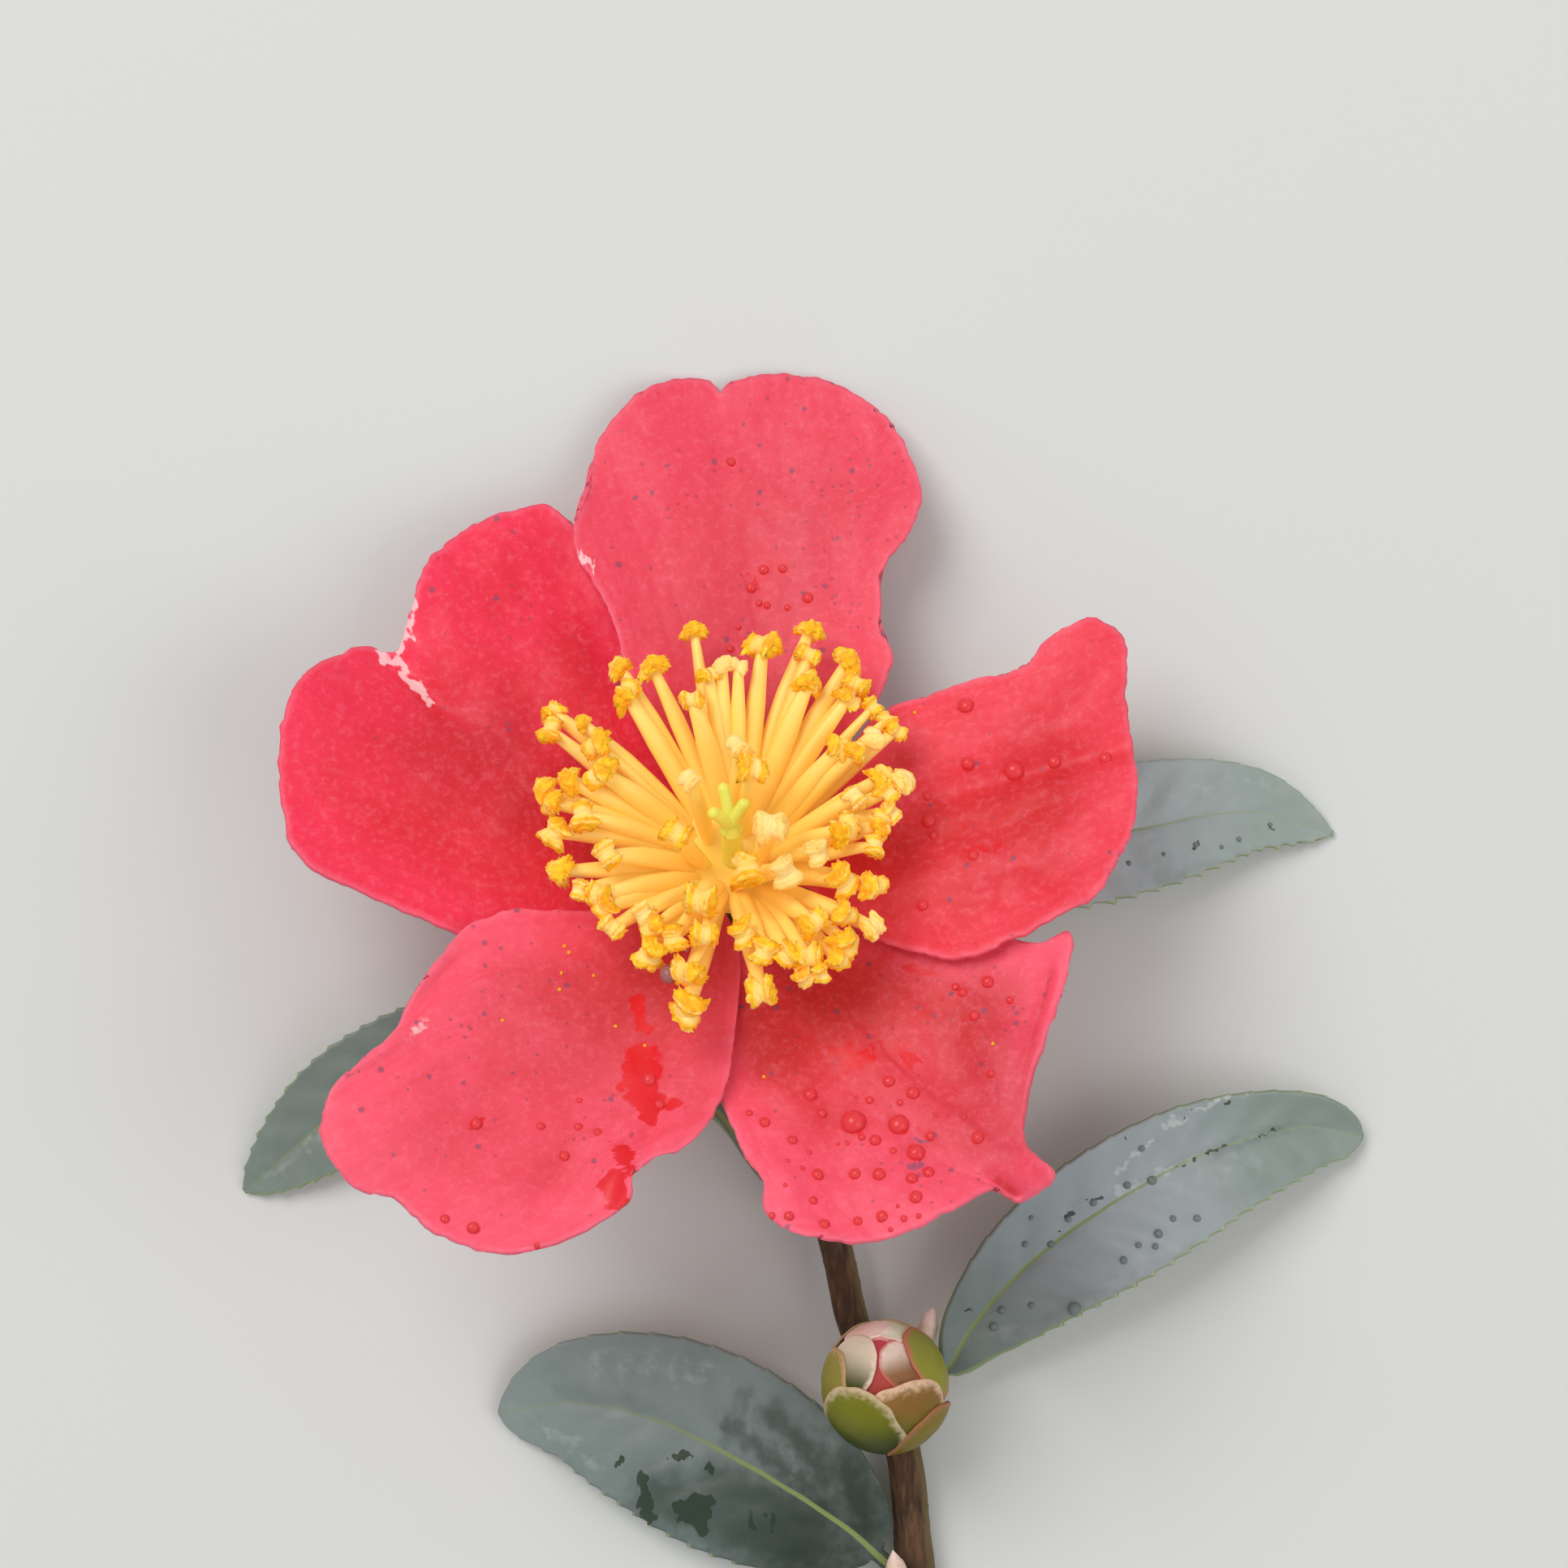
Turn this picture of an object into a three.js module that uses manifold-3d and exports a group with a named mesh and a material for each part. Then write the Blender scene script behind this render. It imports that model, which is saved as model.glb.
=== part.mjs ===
import * as THREE from 'three';
import { mergeVertices } from 'three/addons/utils/BufferGeometryUtils.js';
import Module from 'manifold-3d';

// A cut flowering sprig of camellia, lying on its back with the open bloom facing up.
// Millimetres, +Z up, floor at Z 0. +Y runs from the cut end of the stem towards the bloom.

// Middle of the sprig's outline, which is moved to the origin.
const SPRIG_CENTRE = [1.68, -23.08];

// Stem: centre line from the cut end to the back of the bloom, and radius at its two ends.
const STEM_ROUTE = [
  [13.3, -82.8, 1.77], [12.9, -77, 1.8], [11.7, -69.9, 2.0], [10.8, -60.5, 2.5],
  [8.8, -53.4, 2.9], [6.3, -48.2, 3.3], [4.6, -41.0, 3.6], [1.4, -30.4, 3.8],
  [-1.9, -21.1, 3.4], [-3.9, -14.4, 3.3], [-4.3, -11.5, 4.7], [-4.3, -10.4, 7.25],
];
const STEM_RADIUS_CUT = 1.8;
const STEM_RADIUS_TIP = 1.15;
const STEM_SIDES = 9;
const STEM_STEPS = 26;

// Bloom: its own frame has +Z along the axis, and leans towards +Y of the sprig.
const BLOOM_BASE = [-4.3, -8.0, 12.62];
const BLOOM_LEAN = THREE.MathUtils.degToRad(24);
const CUP_RADIUS = 40;
const CUP_SLOPE = THREE.MathUtils.degToRad(11.5);
const CUP_SLOPE_SIDES = THREE.MathUtils.degToRad(3);
const LAYER_STEP = 1.6;
const PETAL_THICKNESS = 0.6;
const CLAW_RADIUS = 3.4;
const CLAW_HALF_WIDTH = 1.7;
const PETAL_STEPS = 14;

// Each petal: direction of its claw, its layer, its outline from the claw's left side round the
// margin to the claw's right side, the shares of that outline which are its left and right sides,
// the waves across its tip, and its dents and folds.
const PETALS = {
  petal_top: {
    claw: 88, layer: 1, sides: [0.28, 0.36], waves: 3, wave: 0.45,
    outline: [
      [-4.2, 8.0], [-8.6, 15.0], [-10.9, 22.5], [-14.1, 28.4], [-13.1, 33.8], [-12.2, 39.0],
      [-8.1, 43.8], [-4.6, 45.2], [-2.1, 44.6], [-1.4, 43.2], [-0.4, 44.3], [4.7, 45.6],
      [9.9, 44.2], [14.0, 39.8], [16.4, 32.9], [15.4, 29.5], [13.0, 26.3], [12.8, 21.3],
      [13.7, 18.0], [11.0, 12.5], [4.6, 6.6],
    ],
    dents: [
      [15.0, 32.0, 4.0, 1.2], [-12.5, 31.0, 4.0, 0.9], [4.0, 40.0, 6.0, -0.6],
      [-4.5, 44.0, 5.5, -0.42],
    ],
    folds: [],
  },
  petal_upper_left: {
    claw: 160, layer: -1, sides: [0.3, 0.24], waves: 3, wave: 0.5,
    outline: [
      [-5.5, -3.2], [-12.0, -7.2], [-18.0, -8.6], [-23.2, -7.8], [-26.4, -6.7], [-31.5, -4.8],
      [-35.7, -3.0], [-37.8, 0.3], [-38.8, 6.4], [-37.6, 13.1], [-35.1, 16.6], [-32.2, 18.7],
      [-29.5, 18.6], [-28.3, 22.0], [-27.0, 26.5], [-24.1, 30.0], [-19.6, 32.3],
      [-16.5, 32.9], [-12.8, 29.0], [-8.5, 21.0], [-5.0, 11.5], [-3.6, 5.2],
    ],
    dents: [[-37.5, 12.0, 5.0, 1.5], [-20.0, 31.0, 4.0, 0.8], [-27.0, 10.0, 8.0, -0.8]],
    folds: [],
  },
  petal_lower_left: {
    claw: 230, layer: 1, sides: [0.38, 0.24], waves: 4, wave: 0.45,
    outline: [
      [0.4, -7.4], [0.2, -15.2], [-0.9, -22.0], [-3.3, -26.2], [-7.8, -29.0], [-8.4, -31.6],
      [-11.8, -34.4], [-18.6, -36.5], [-24.4, -35.0], [-27.6, -32.2], [-31.1, -31.4],
      [-33.7, -27.1], [-32.7, -23.2], [-29.2, -19.4], [-26.9, -14.9], [-24.8, -11.2],
      [-22.2, -7.5], [-18.2, -5.9], [-12.4, -5.2], [-6.5, -2.6],
    ],
    dents: [[-8.0, -29.5, 3.2, 1.2], [-31.0, -24.0, 5.0, 1.0], [-17.0, -21.0, 8.0, -0.7]],
    folds: [],
  },
  petal_lower_right: {
    claw: 305, layer: -1, sides: [0.26, 0.32], waves: 4, wave: 0.4,
    outline: [
      [6.0, -1.9], [13.0, -4.8], [20.0, -7.2], [24.8, -8.0], [28.6, -9.2], [27.9, -13.5],
      [26.1, -17.8], [24.7, -22.3], [24.4, -26.4], [26.6, -30.2], [23.2, -31.4],
      [21.1, -30.7], [16.4, -33.3], [10.0, -34.7], [5.1, -33.9], [2.7, -32.0],
      [2.7, -29.8], [1.0, -26.7], [-0.9, -21.8], [-1.9, -15.5], [-0.8, -8.0],
    ],
    dents: [[26.5, -30.0, 2.4, 1.8], [13.0, -25.0, 7.0, -0.6], [4.0, -30.0, 3.0, 0.7]],
    folds: [],
  },
  petal_right: {
    claw: 14, layer: 1, sides: [0.36, 0.34], waves: 3, wave: 0.45,
    outline: [
      [6.0, 5.5], [10.5, 10.8], [13.7, 13.7], [16.9, 14.3], [21.4, 15.4], [25.2, 16.0],
      [26.6, 17.8], [28.6, 19.1], [31.0, 19.8], [33.6, 17.6], [33.5, 12.6], [34.2, 7.5], [34.0, 1.2],
      [32.3, -2.9], [30.1, -6.4], [28.0, -6.7], [26.2, -8.2], [23.1, -9.1], [19.7, -10.3],
      [14.7, -9.1], [10.0, -6.2], [6.2, -2.2],
    ],
    dents: [[31.5, 17.0, 4.5, 1.6], [31.0, -3.0, 4.0, 0.8]],
    folds: [[14.5, 6.0, 34.0, 7.6, 2.2, -0.9]],
  },
};

// Calyx behind the bloom: a small cup with sepals pressed to the backs of the petals.
const CALYX_PROFILE = [
  [0, -5.5], [1.35, -5.5], [1.7, -4.2], [3.0, -2.4], [3.3, -1.2], [3.0, 0.3], [0, 0.3],
];
const CALYX_SIDES = 14;
const SEPALS = 5;
const SEPAL_REACH = 8.0;
const SEPAL_HALF_WIDTH = 3.1;
const SEPAL_DROP = 2.0;

// Stamens: filaments that stand on a fleshy ring, each with an anther at its tip.
const STAMEN_RING = [
  [0, 0.9], [2.7, 0.9], [2.9, 3.0], [4.1, 4.3], [3.4, 5.0], [1.7, 4.1], [0, 3.9],
];
const STAMEN_RING_SIDES = 16;
const STAMENS = 60;
const STAMEN_SEED = 4271;
const STAMEN_TURN = 137.508;
const STAMEN_FLOOR = 3.4;
const STAMEN_SWAY = [-0.06, 0.08];
const STAMEN_SPREAD = [0.9, 1.06];
const FILAMENT_RADIUS = 0.7;
const FILAMENT_SIDES = 3;
const ANTHER_SIZE = [1.45, 1.15, 0.95];

// Pistil: one style that parts into three arms.
const STYLE_FOOT = 4.4;
const STYLE_FORK = 12.0;
const STYLE_ARM = 4.6;
const STYLE_RADIUS = 0.75;
const STYLE_ARMS = 3;

// Round flower bud, with overlapping scales, each given by direction, spread and rise.
const BUD_CENTRE = [8.8, -52.2, 11.5];
const BUD_RADIUS = 5.25;
const BUD_HALF_LENGTH = 6.2;
const BUD_LEAN = THREE.MathUtils.degToRad(36);
const BUD_SCALES = [
  { turn: 250, tip: 95, spread: 62, rise: 0.2 },
  { turn: 20, tip: 85, spread: 60, rise: 0.2 },
  { turn: 140, tip: 80, spread: 62, rise: 0.35 },
  { turn: 305, tip: 100, spread: 56, rise: 0.5 },
  { turn: 215, tip: 108, spread: 52, rise: 0.6 },
  { turn: 70, tip: 110, spread: 50, rise: 0.55 },
];
const BUD_STALK = [[9.5, -57.0, 5.0], [9.1, -55.6, 7.6]];
const BUD_STALK_RADIUS = 1.1;

// Small leaf buds in the leaf axils: foot, tip and radius.
const LEAF_BUDS = {
  leaf_bud_upper: { foot: [10.2, -51.5, 3.6], tip: [13.1, -46.4, 4.9], radius: 0.9 },
  leaf_bud_lower: { foot: [10.3, -71.7, 4.7], tip: [9.6, -67.6, 5.6], radius: 1.0 },
};

// Leaves: route of the midrib from the stem to the tip, share of it that is stalk, half width on
// the left and on the right, rise of the two margins over the midrib, where the blade is widest,
// and how full its ends are: the lower, the blunter.
const LEAF_THICKNESS = 0.6;
const STALK_HALF_WIDTH = 0.65;
const STALK_THICKNESS = 1.3;
const LEAF_STEPS = 15;
const LEAF_COLUMNS = 6;
const LEAVES = {
  leaf_lower_left: {
    rib: [
      [9.2, -69.2, 3.2], [5.7, -66.0, 4.2], [-3.2, -60.2, 5.0], [-11.6, -56.2, 4.6],
      [-18.7, -54.9, 3.2], [-25.4, -56.2, 0.9],
    ],
    stalk: 0.08, halfWidth: [8.9, 8.3], rise: [-1.0, 0.8], widest: 0.45, fullness: 0.58,
  },
  leaf_lower_right: {
    rib: [
      [11.0, -54.4, 3.3], [14.2, -52.0, 4.3], [16.9, -47.6, 5.0], [22.3, -41.7, 6.0],
      [29.4, -36.6, 6.4], [38.0, -32.3, 5.2], [46.7, -30.5, 2.8], [51.6, -31.5, 0.9],
    ],
    stalk: 0.08, halfWidth: [5.3, 7.0], rise: [2.2, 1.6], widest: 0.48, fullness: 0.62,
  },
  leaf_right: {
    rib: [
      [-1.6, -15.3, 3.6], [3.9, -11.9, 4.4], [16.8, -7.4, 4.6], [31.1, -4.1, 4.2],
      [41.4, -2.5, 2.4], [49.0, -4.4, 0.29],
    ],
    stalk: 0.12, halfWidth: [6.2, 5.7], rise: [0.8, 0.9], widest: 0.52, fullness: 0.7,
  },
  leaf_left: {
    rib: [
      [1.8, -37.6, 4.4], [-1.7, -34.4, 4.9], [-6.5, -28.4, 5.0], [-15.5, -23.8, 5.2],
      [-26.8, -23.0, 4.8], [-37.2, -27.4, 3.0], [-48.2, -36.4, 0.29],
    ],
    stalk: 0.13, halfWidth: [5.2, 5.2], rise: [0.9, 0.6], widest: 0.66, fullness: 0.62,
  },
};

const COLOURS = {
  bark: 0x6b4a34, petal: 0xe0384f, calyx: 0x7f8a3c, stamens: 0xf2b632, pistil: 0xc9cf6a,
  bud: 0x8d9440, leafBud: 0xd8b89a, leaf: 0x3d5a4b,
};

const wasm = await Module();
wasm.setup();

const point = (p) => new THREE.Vector3(p[0], p[1], p[2]);
const radians = (degrees) => THREE.MathUtils.degToRad(degrees);

// Closed mesh from points and faces, turned so that its faces point outwards.
function closedMesh(points, faces) {
  let volume = 0;
  for (const [a, b, c] of faces) {
    volume += points[a].dot(points[b].clone().cross(points[c]));
  }
  const index = [];
  for (const [a, b, c] of faces) {
    index.push(...(volume < 0 ? [a, c, b] : [a, b, c]));
  }
  const geometry = new THREE.BufferGeometry();
  geometry.setFromPoints(points);
  geometry.setIndex(index);
  return geometry;
}

// A sheet solid: rows of points on its middle surface, with half the thickness to each side.
function sheet(rows, thicknessOf) {
  const last = rows.length - 1;
  const width = rows[0].length;
  const points = [];
  for (const side of [0.5, -0.5]) {
    rows.forEach((row, i) => {
      row.forEach((p, j) => {
        const along = rows[Math.min(i + 1, last)][j].clone().sub(rows[Math.max(i - 1, 0)][j]);
        const across = row[Math.min(j + 1, width - 1)].clone().sub(row[Math.max(j - 1, 0)]);
        const normal = along.cross(across).normalize();
        points.push(p.clone().addScaledVector(normal, side * thicknessOf(i)));
      });
    });
  }
  const under = rows.length * width;
  const at = (i, j) => i * width + j;
  const faces = [];
  const quad = (a, b, c, d) => {
    const shorter = points[a].distanceTo(points[c]) <= points[b].distanceTo(points[d]);
    faces.push(...(shorter ? [[a, b, c], [a, c, d]] : [[a, b, d], [b, c, d]]));
  };
  for (let i = 0; i < last; i += 1) {
    for (let j = 0; j < width - 1; j += 1) {
      const corners = [at(i, j), at(i + 1, j), at(i + 1, j + 1), at(i, j + 1)];
      quad(...corners);
      quad(...corners.map((k) => k + under).reverse());
    }
  }
  const rim = [];
  for (let j = 0; j < width - 1; j += 1) rim.push([at(0, j), at(0, j + 1)]);
  for (let i = 0; i < last; i += 1) rim.push([at(i, width - 1), at(i + 1, width - 1)]);
  for (let j = width - 1; j > 0; j -= 1) rim.push([at(last, j), at(last, j - 1)]);
  for (let i = last; i > 0; i -= 1) rim.push([at(i, 0), at(i - 1, 0)]);
  for (const [a, b] of rim) quad(a, b, b + under, a + under);
  return closedMesh(points, faces);
}

// A tapered round solid along a route, closed at both ends.
function tube(route, radii, sides, firstTangent) {
  const points = [];
  const faces = [];
  const last = route.length - 1;
  route.forEach((centre, i) => {
    const tangent = route[Math.min(i + 1, last)].clone().sub(route[Math.max(i - 1, 0)]);
    if (i === 0 && firstTangent) tangent.copy(firstTangent);
    tangent.normalize();
    const helper = Math.abs(tangent.x) < 0.8 ? new THREE.Vector3(1, 0, 0)
      : new THREE.Vector3(0, 1, 0);
    const up = helper.clone().cross(tangent).normalize();
    const side = tangent.clone().cross(up);
    for (let k = 0; k < sides; k += 1) {
      const turn = (2 * Math.PI * k) / sides;
      points.push(centre.clone().addScaledVector(side, radii[i] * Math.cos(turn))
        .addScaledVector(up, radii[i] * Math.sin(turn)));
    }
  });
  for (let i = 0; i < last; i += 1) {
    for (let k = 0; k < sides; k += 1) {
      const a = i * sides + k;
      const b = i * sides + ((k + 1) % sides);
      faces.push([a, b, b + sides], [a, b + sides, a + sides]);
    }
  }
  for (let k = 1; k < sides - 1; k += 1) {
    faces.push([0, k + 1, k], [last * sides, last * sides + k, last * sides + k + 1]);
  }
  return closedMesh(points, faces);
}

// The same geometry as a solid that can be joined to others, and back.
function solid(geometry) {
  const bare = geometry.index ? geometry.toNonIndexed() : geometry.clone();
  bare.deleteAttribute('normal');
  bare.deleteAttribute('uv');
  const merged = mergeVertices(bare, 1e-4);
  return new wasm.Manifold(new wasm.Mesh({
    numProp: 3,
    vertProperties: merged.attributes.position.array,
    triVerts: new Uint32Array(merged.index.array),
  }));
}

function joined(geometries) {
  const whole = geometries.map(solid).reduce((sum, next) => sum.add(next));
  const { vertProperties, triVerts } = whole.getMesh();
  const geometry = new THREE.BufferGeometry();
  geometry.setAttribute('position', new THREE.BufferAttribute(vertProperties, 3));
  geometry.setIndex(new THREE.BufferAttribute(triVerts, 1));
  return geometry;
}

function turned(profile, sides) {
  return new THREE.LatheGeometry(profile.map(([r, z]) => new THREE.Vector2(r, z)), sides)
    .rotateX(Math.PI / 2);
}

// Repeatable random numbers from 0 to 1.
function seeded(seed) {
  let state = seed;
  return () => {
    state = (state * 16807) % 2147483647;
    return state / 2147483647;
  };
}

// Height of the shallow bowl that all the petals lie in, over the bloom's own XY plane.
function bowl(x, y) {
  const r = Math.hypot(x, y);
  const slope = CUP_SLOPE + CUP_SLOPE_SIDES * Math.cos(2 * Math.atan2(y, x));
  return Math.tan(slope) * r * (1.25 - (0.25 * r) / CUP_RADIUS);
}

function petalHeight(petal, x, y) {
  let height = bowl(x, y) + (petal.layer * LAYER_STEP) / 2;
  for (const [dx, dy, spread, rise] of petal.dents) {
    height += rise * Math.exp(-((x - dx) ** 2 + (y - dy) ** 2) / spread ** 2);
  }
  for (const [ax, ay, bx, by, spread, rise] of petal.folds) {
    const length = (bx - ax) ** 2 + (by - ay) ** 2;
    const along = THREE.MathUtils.clamp(((x - ax) * (bx - ax) + (y - ay) * (by - ay)) / length, 0, 1);
    const away = Math.hypot(x - ax - along * (bx - ax), y - ay - along * (by - ay));
    height += rise * Math.sin(Math.PI * (0.15 + 0.7 * along)) * Math.exp(-((away / spread) ** 2));
  }
  return height;
}

// Rows of points from the claw to the tip, spread between the foot, the two sides and the tip.
function petalRows(petal) {
  const claw = radians(petal.claw);
  const middle = new THREE.Vector3(Math.cos(claw), Math.sin(claw), 0);
  const leftward = new THREE.Vector3(-Math.sin(claw), Math.cos(claw), 0);
  const foot = [1, -1].map((side) => middle.clone().multiplyScalar(CLAW_RADIUS)
    .addScaledVector(leftward, side * CLAW_HALF_WIDTH));
  const outline = petal.outline.map(([x, y]) => new THREE.Vector3(x, y, 0));
  const margin = new THREE.CatmullRomCurve3([foot[0], ...outline, foot[1]], false, 'centripetal');
  const [left, right] = petal.sides;
  const shoulder = [margin.getPointAt(left), margin.getPointAt(1 - right)];
  const rows = [];
  for (let i = 0; i <= PETAL_STEPS; i += 1) {
    const out = i / PETAL_STEPS;
    const sides = [margin.getPointAt(left * out), margin.getPointAt(1 - right * out)];
    const row = [];
    for (let j = 0; j <= PETAL_STEPS; j += 1) {
      const across = j / PETAL_STEPS;
      const tip = margin.getPointAt(left + (1 - left - right) * across);
      const between = (pair) => pair[0].clone().lerp(pair[1], across);
      const p = between(foot).lerp(tip, out).add(between(sides));
      p.sub(between(foot).lerp(between(shoulder), out));
      p.z = petalHeight(petal, p.x, p.y)
        + petal.wave * out ** 2 * Math.sin(2 * Math.PI * (petal.waves * across + 0.35 * out));
      row.push(p);
    }
    rows.push(row);
  }
  return rows;
}

function calyxSolid() {
  const pieces = [turned(CALYX_PROFILE, CALYX_SIDES)];
  for (let k = 0; k < SEPALS; k += 1) {
    const turn = radians(51 + (360 * k) / SEPALS);
    const rows = [];
    for (let i = 0; i <= 4; i += 1) {
      const out = i / 4;
      const reach = 1.6 + (SEPAL_REACH - 1.6) * out;
      const half = SEPAL_HALF_WIDTH * Math.sqrt(Math.max(0.06, 1 - out ** 3)) * (0.55 + 0.45 * out);
      const row = [];
      for (let j = -2; j <= 2; j += 1) {
        const aside = (half * j) / 2;
        const x = reach * Math.cos(turn) - aside * Math.sin(turn);
        const y = reach * Math.sin(turn) + aside * Math.cos(turn);
        row.push(new THREE.Vector3(x, y, bowl(x, y) - SEPAL_DROP));
      }
      rows.push(row);
    }
    pieces.push(sheet(rows, () => 0.6));
  }
  return joined(pieces);
}

function stamenSolid() {
  const random = seeded(STAMEN_SEED);
  const pieces = [turned(STAMEN_RING, STAMEN_RING_SIDES)];
  for (let k = 0; k < STAMENS; k += 1) {
    const share = (k + 0.5) / STAMENS;
    const turn = radians(k * STAMEN_TURN + 12 * (random() - 0.5));
    const lean = radians(12 + 45 * share ** 0.6 + 8 * (random() - 0.5));
    const length = 9.8 + 6.4 * share ** 0.7 + 2.2 * (random() - 0.5);
    const root = 1.9 + 1.5 * share;
    const along = (r, h) => new THREE.Vector3(
      r * Math.cos(turn) * STAMEN_SPREAD[0] + STAMEN_SWAY[0] * h,
      r * Math.sin(turn) * STAMEN_SPREAD[1] + STAMEN_SWAY[1] * h,
      STAMEN_FLOOR + h,
    );
    const tip = along(root + length * Math.sin(lean), length * Math.cos(lean));
    const knee = along(root + 0.45 * length * Math.sin(0.85 * lean),
      0.48 * length * Math.cos(0.85 * lean));
    const route = [along(root, 0), knee, tip];
    const radii = [FILAMENT_RADIUS, FILAMENT_RADIUS * 0.85, FILAMENT_RADIUS * 0.55];
    pieces.push(tube(route, radii, FILAMENT_SIDES));
    const anther = new THREE.OctahedronGeometry(1, 0);
    anther.scale(...ANTHER_SIZE);
    anther.rotateZ(turn + 2 * random());
    anther.rotateX(0.8 * (random() - 0.5));
    anther.translate(tip.x, tip.y, tip.z);
    pieces.push(anther);
  }
  return joined(pieces);
}

function pistilSolid() {
  const fork = new THREE.Vector3(-0.4, 0, STYLE_FORK);
  const pieces = [tube([new THREE.Vector3(0, 0, STYLE_FOOT), new THREE.Vector3(-0.2, 0, 8), fork],
    [STYLE_RADIUS * 1.3, STYLE_RADIUS, STYLE_RADIUS], 8)];
  for (let k = 0; k < STYLE_ARMS; k += 1) {
    const turn = radians(95 + (360 * k) / STYLE_ARMS);
    const tip = fork.clone().add(new THREE.Vector3(1.7 * Math.cos(turn), 1.7 * Math.sin(turn),
      STYLE_ARM));
    const foot = fork.clone().lerp(tip, -0.15);
    pieces.push(tube([foot, tip], [STYLE_RADIUS * 0.7, STYLE_RADIUS * 0.55], 6));
  }
  return joined(pieces);
}

// Rise of the bud's surface in one direction: the highest of the scales that cover it.
function scaleRise(direction) {
  let rise = 0;
  for (const scale of BUD_SCALES) {
    const down = radians(scale.tip);
    const turn = radians(scale.turn);
    const heart = new THREE.Vector3(Math.sin(down) * Math.cos(turn),
      Math.sin(down) * Math.sin(turn), Math.cos(down));
    const inside = radians(scale.spread) - direction.angleTo(heart);
    rise = Math.max(rise, scale.rise * THREE.MathUtils.smoothstep(inside, 0, 0.18));
  }
  return rise;
}

function budSolid() {
  const body = new THREE.SphereGeometry(1, 20, 14).rotateX(Math.PI / 2);
  const place = body.attributes.position;
  for (let i = 0; i < place.count; i += 1) {
    const direction = new THREE.Vector3().fromBufferAttribute(place, i).normalize();
    const radius = BUD_RADIUS + scaleRise(direction);
    const taper = 1 - 0.06 * Math.max(direction.z, 0) ** 2;
    place.setXYZ(i, direction.x * radius * taper, direction.y * radius * taper,
      (direction.z * radius * BUD_HALF_LENGTH) / BUD_RADIUS);
  }
  body.rotateX(-BUD_LEAN).translate(...BUD_CENTRE);
  const stalk = tube(BUD_STALK.map(point), [BUD_STALK_RADIUS, BUD_STALK_RADIUS * 1.2], 8);
  return joined([body, stalk]);
}

function leafBudSolid({ foot, tip, radius }) {
  const route = [];
  const radii = [];
  for (let i = 0; i <= 6; i += 1) {
    const along = i / 6;
    route.push(point(foot).lerp(point(tip), along));
    radii.push(radius * Math.max(0.12, Math.sin(Math.PI * (0.18 + 0.8 * along)) ** 0.8));
  }
  return tube(route, radii, 8);
}

function leafSolid({ rib, stalk, halfWidth, rise, widest, fullness }) {
  const midrib = new THREE.CatmullRomCurve3(rib.map(point), false, 'centripetal');
  const power = Math.log(0.5) / Math.log(widest);
  const rows = [];
  const thickness = [];
  for (let i = 0; i <= LEAF_STEPS; i += 1) {
    const along = i / LEAF_STEPS;
    const p = midrib.getPointAt(along);
    const tangent = midrib.getTangentAt(along);
    const aside = tangent.cross(new THREE.Vector3(0, 0, 1)).normalize();
    const blade = THREE.MathUtils.clamp((along - stalk) / (1 - stalk), 0, 1);
    const share = Math.sin(Math.PI * blade ** power) ** fullness;
    const row = [];
    for (let j = 0; j <= LEAF_COLUMNS; j += 1) {
      const across = (2 * j) / LEAF_COLUMNS - 1;
      const side = across < 0 ? 0 : 1;
      const least = along > 0.5 ? 0.3 : STALK_HALF_WIDTH;
      const half = Math.max(least, halfWidth[side] * share);
      const lift = rise[side] * share * Math.abs(across) ** 1.5;
      row.push(p.clone().addScaledVector(aside, half * across).add(new THREE.Vector3(0, 0, lift)));
    }
    rows.push(row);
    thickness.push(THREE.MathUtils.lerp(STALK_THICKNESS, LEAF_THICKNESS,
      THREE.MathUtils.smoothstep(along, 0.4 * stalk, 2.2 * stalk)));
  }
  return sheet(rows, (i) => thickness[i]);
}

function stemSolid() {
  const line = new THREE.CatmullRomCurve3(STEM_ROUTE.map(point), false, 'centripetal');
  const radii = [];
  for (let i = 0; i <= STEM_STEPS; i += 1) {
    radii.push(THREE.MathUtils.lerp(STEM_RADIUS_CUT, STEM_RADIUS_TIP, (i / STEM_STEPS) ** 0.8));
  }
  return tube(line.getSpacedPoints(STEM_STEPS), radii, STEM_SIDES, new THREE.Vector3(0, 1, 0));
}

function piece(name, geometry, colour, roughness) {
  const material = new THREE.MeshStandardMaterial({ color: colour, roughness, metalness: 0 });
  const mesh = new THREE.Mesh(geometry, material);
  mesh.name = name;
  return mesh;
}

const sprig = new THREE.Group();
sprig.position.set(-SPRIG_CENTRE[0], -SPRIG_CENTRE[1], 0);
sprig.add(piece('stem', stemSolid(), COLOURS.bark, 0.85));

const bloom = new THREE.Group();
bloom.position.set(...BLOOM_BASE);
bloom.rotation.x = -BLOOM_LEAN;
bloom.add(piece('calyx', calyxSolid(), COLOURS.calyx, 0.7));
for (const [name, petal] of Object.entries(PETALS)) {
  bloom.add(piece(name, sheet(petalRows(petal), () => PETAL_THICKNESS), COLOURS.petal, 0.55));
}
bloom.add(piece('stamens', stamenSolid(), COLOURS.stamens, 0.7));
bloom.add(piece('pistil', pistilSolid(), COLOURS.pistil, 0.5));
sprig.add(bloom);

sprig.add(piece('flower_bud', budSolid(), COLOURS.bud, 0.6));
for (const [name, bud] of Object.entries(LEAF_BUDS)) {
  sprig.add(piece(name, leafBudSolid(bud), COLOURS.leafBud, 0.7));
}
for (const [name, leaf] of Object.entries(LEAVES)) {
  sprig.add(piece(name, leafSolid(leaf), COLOURS.leaf, 0.4));
}

const part = new THREE.Group();
part.add(sprig);

export default part;
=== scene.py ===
import math
import random
from bisect import bisect_right

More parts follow.
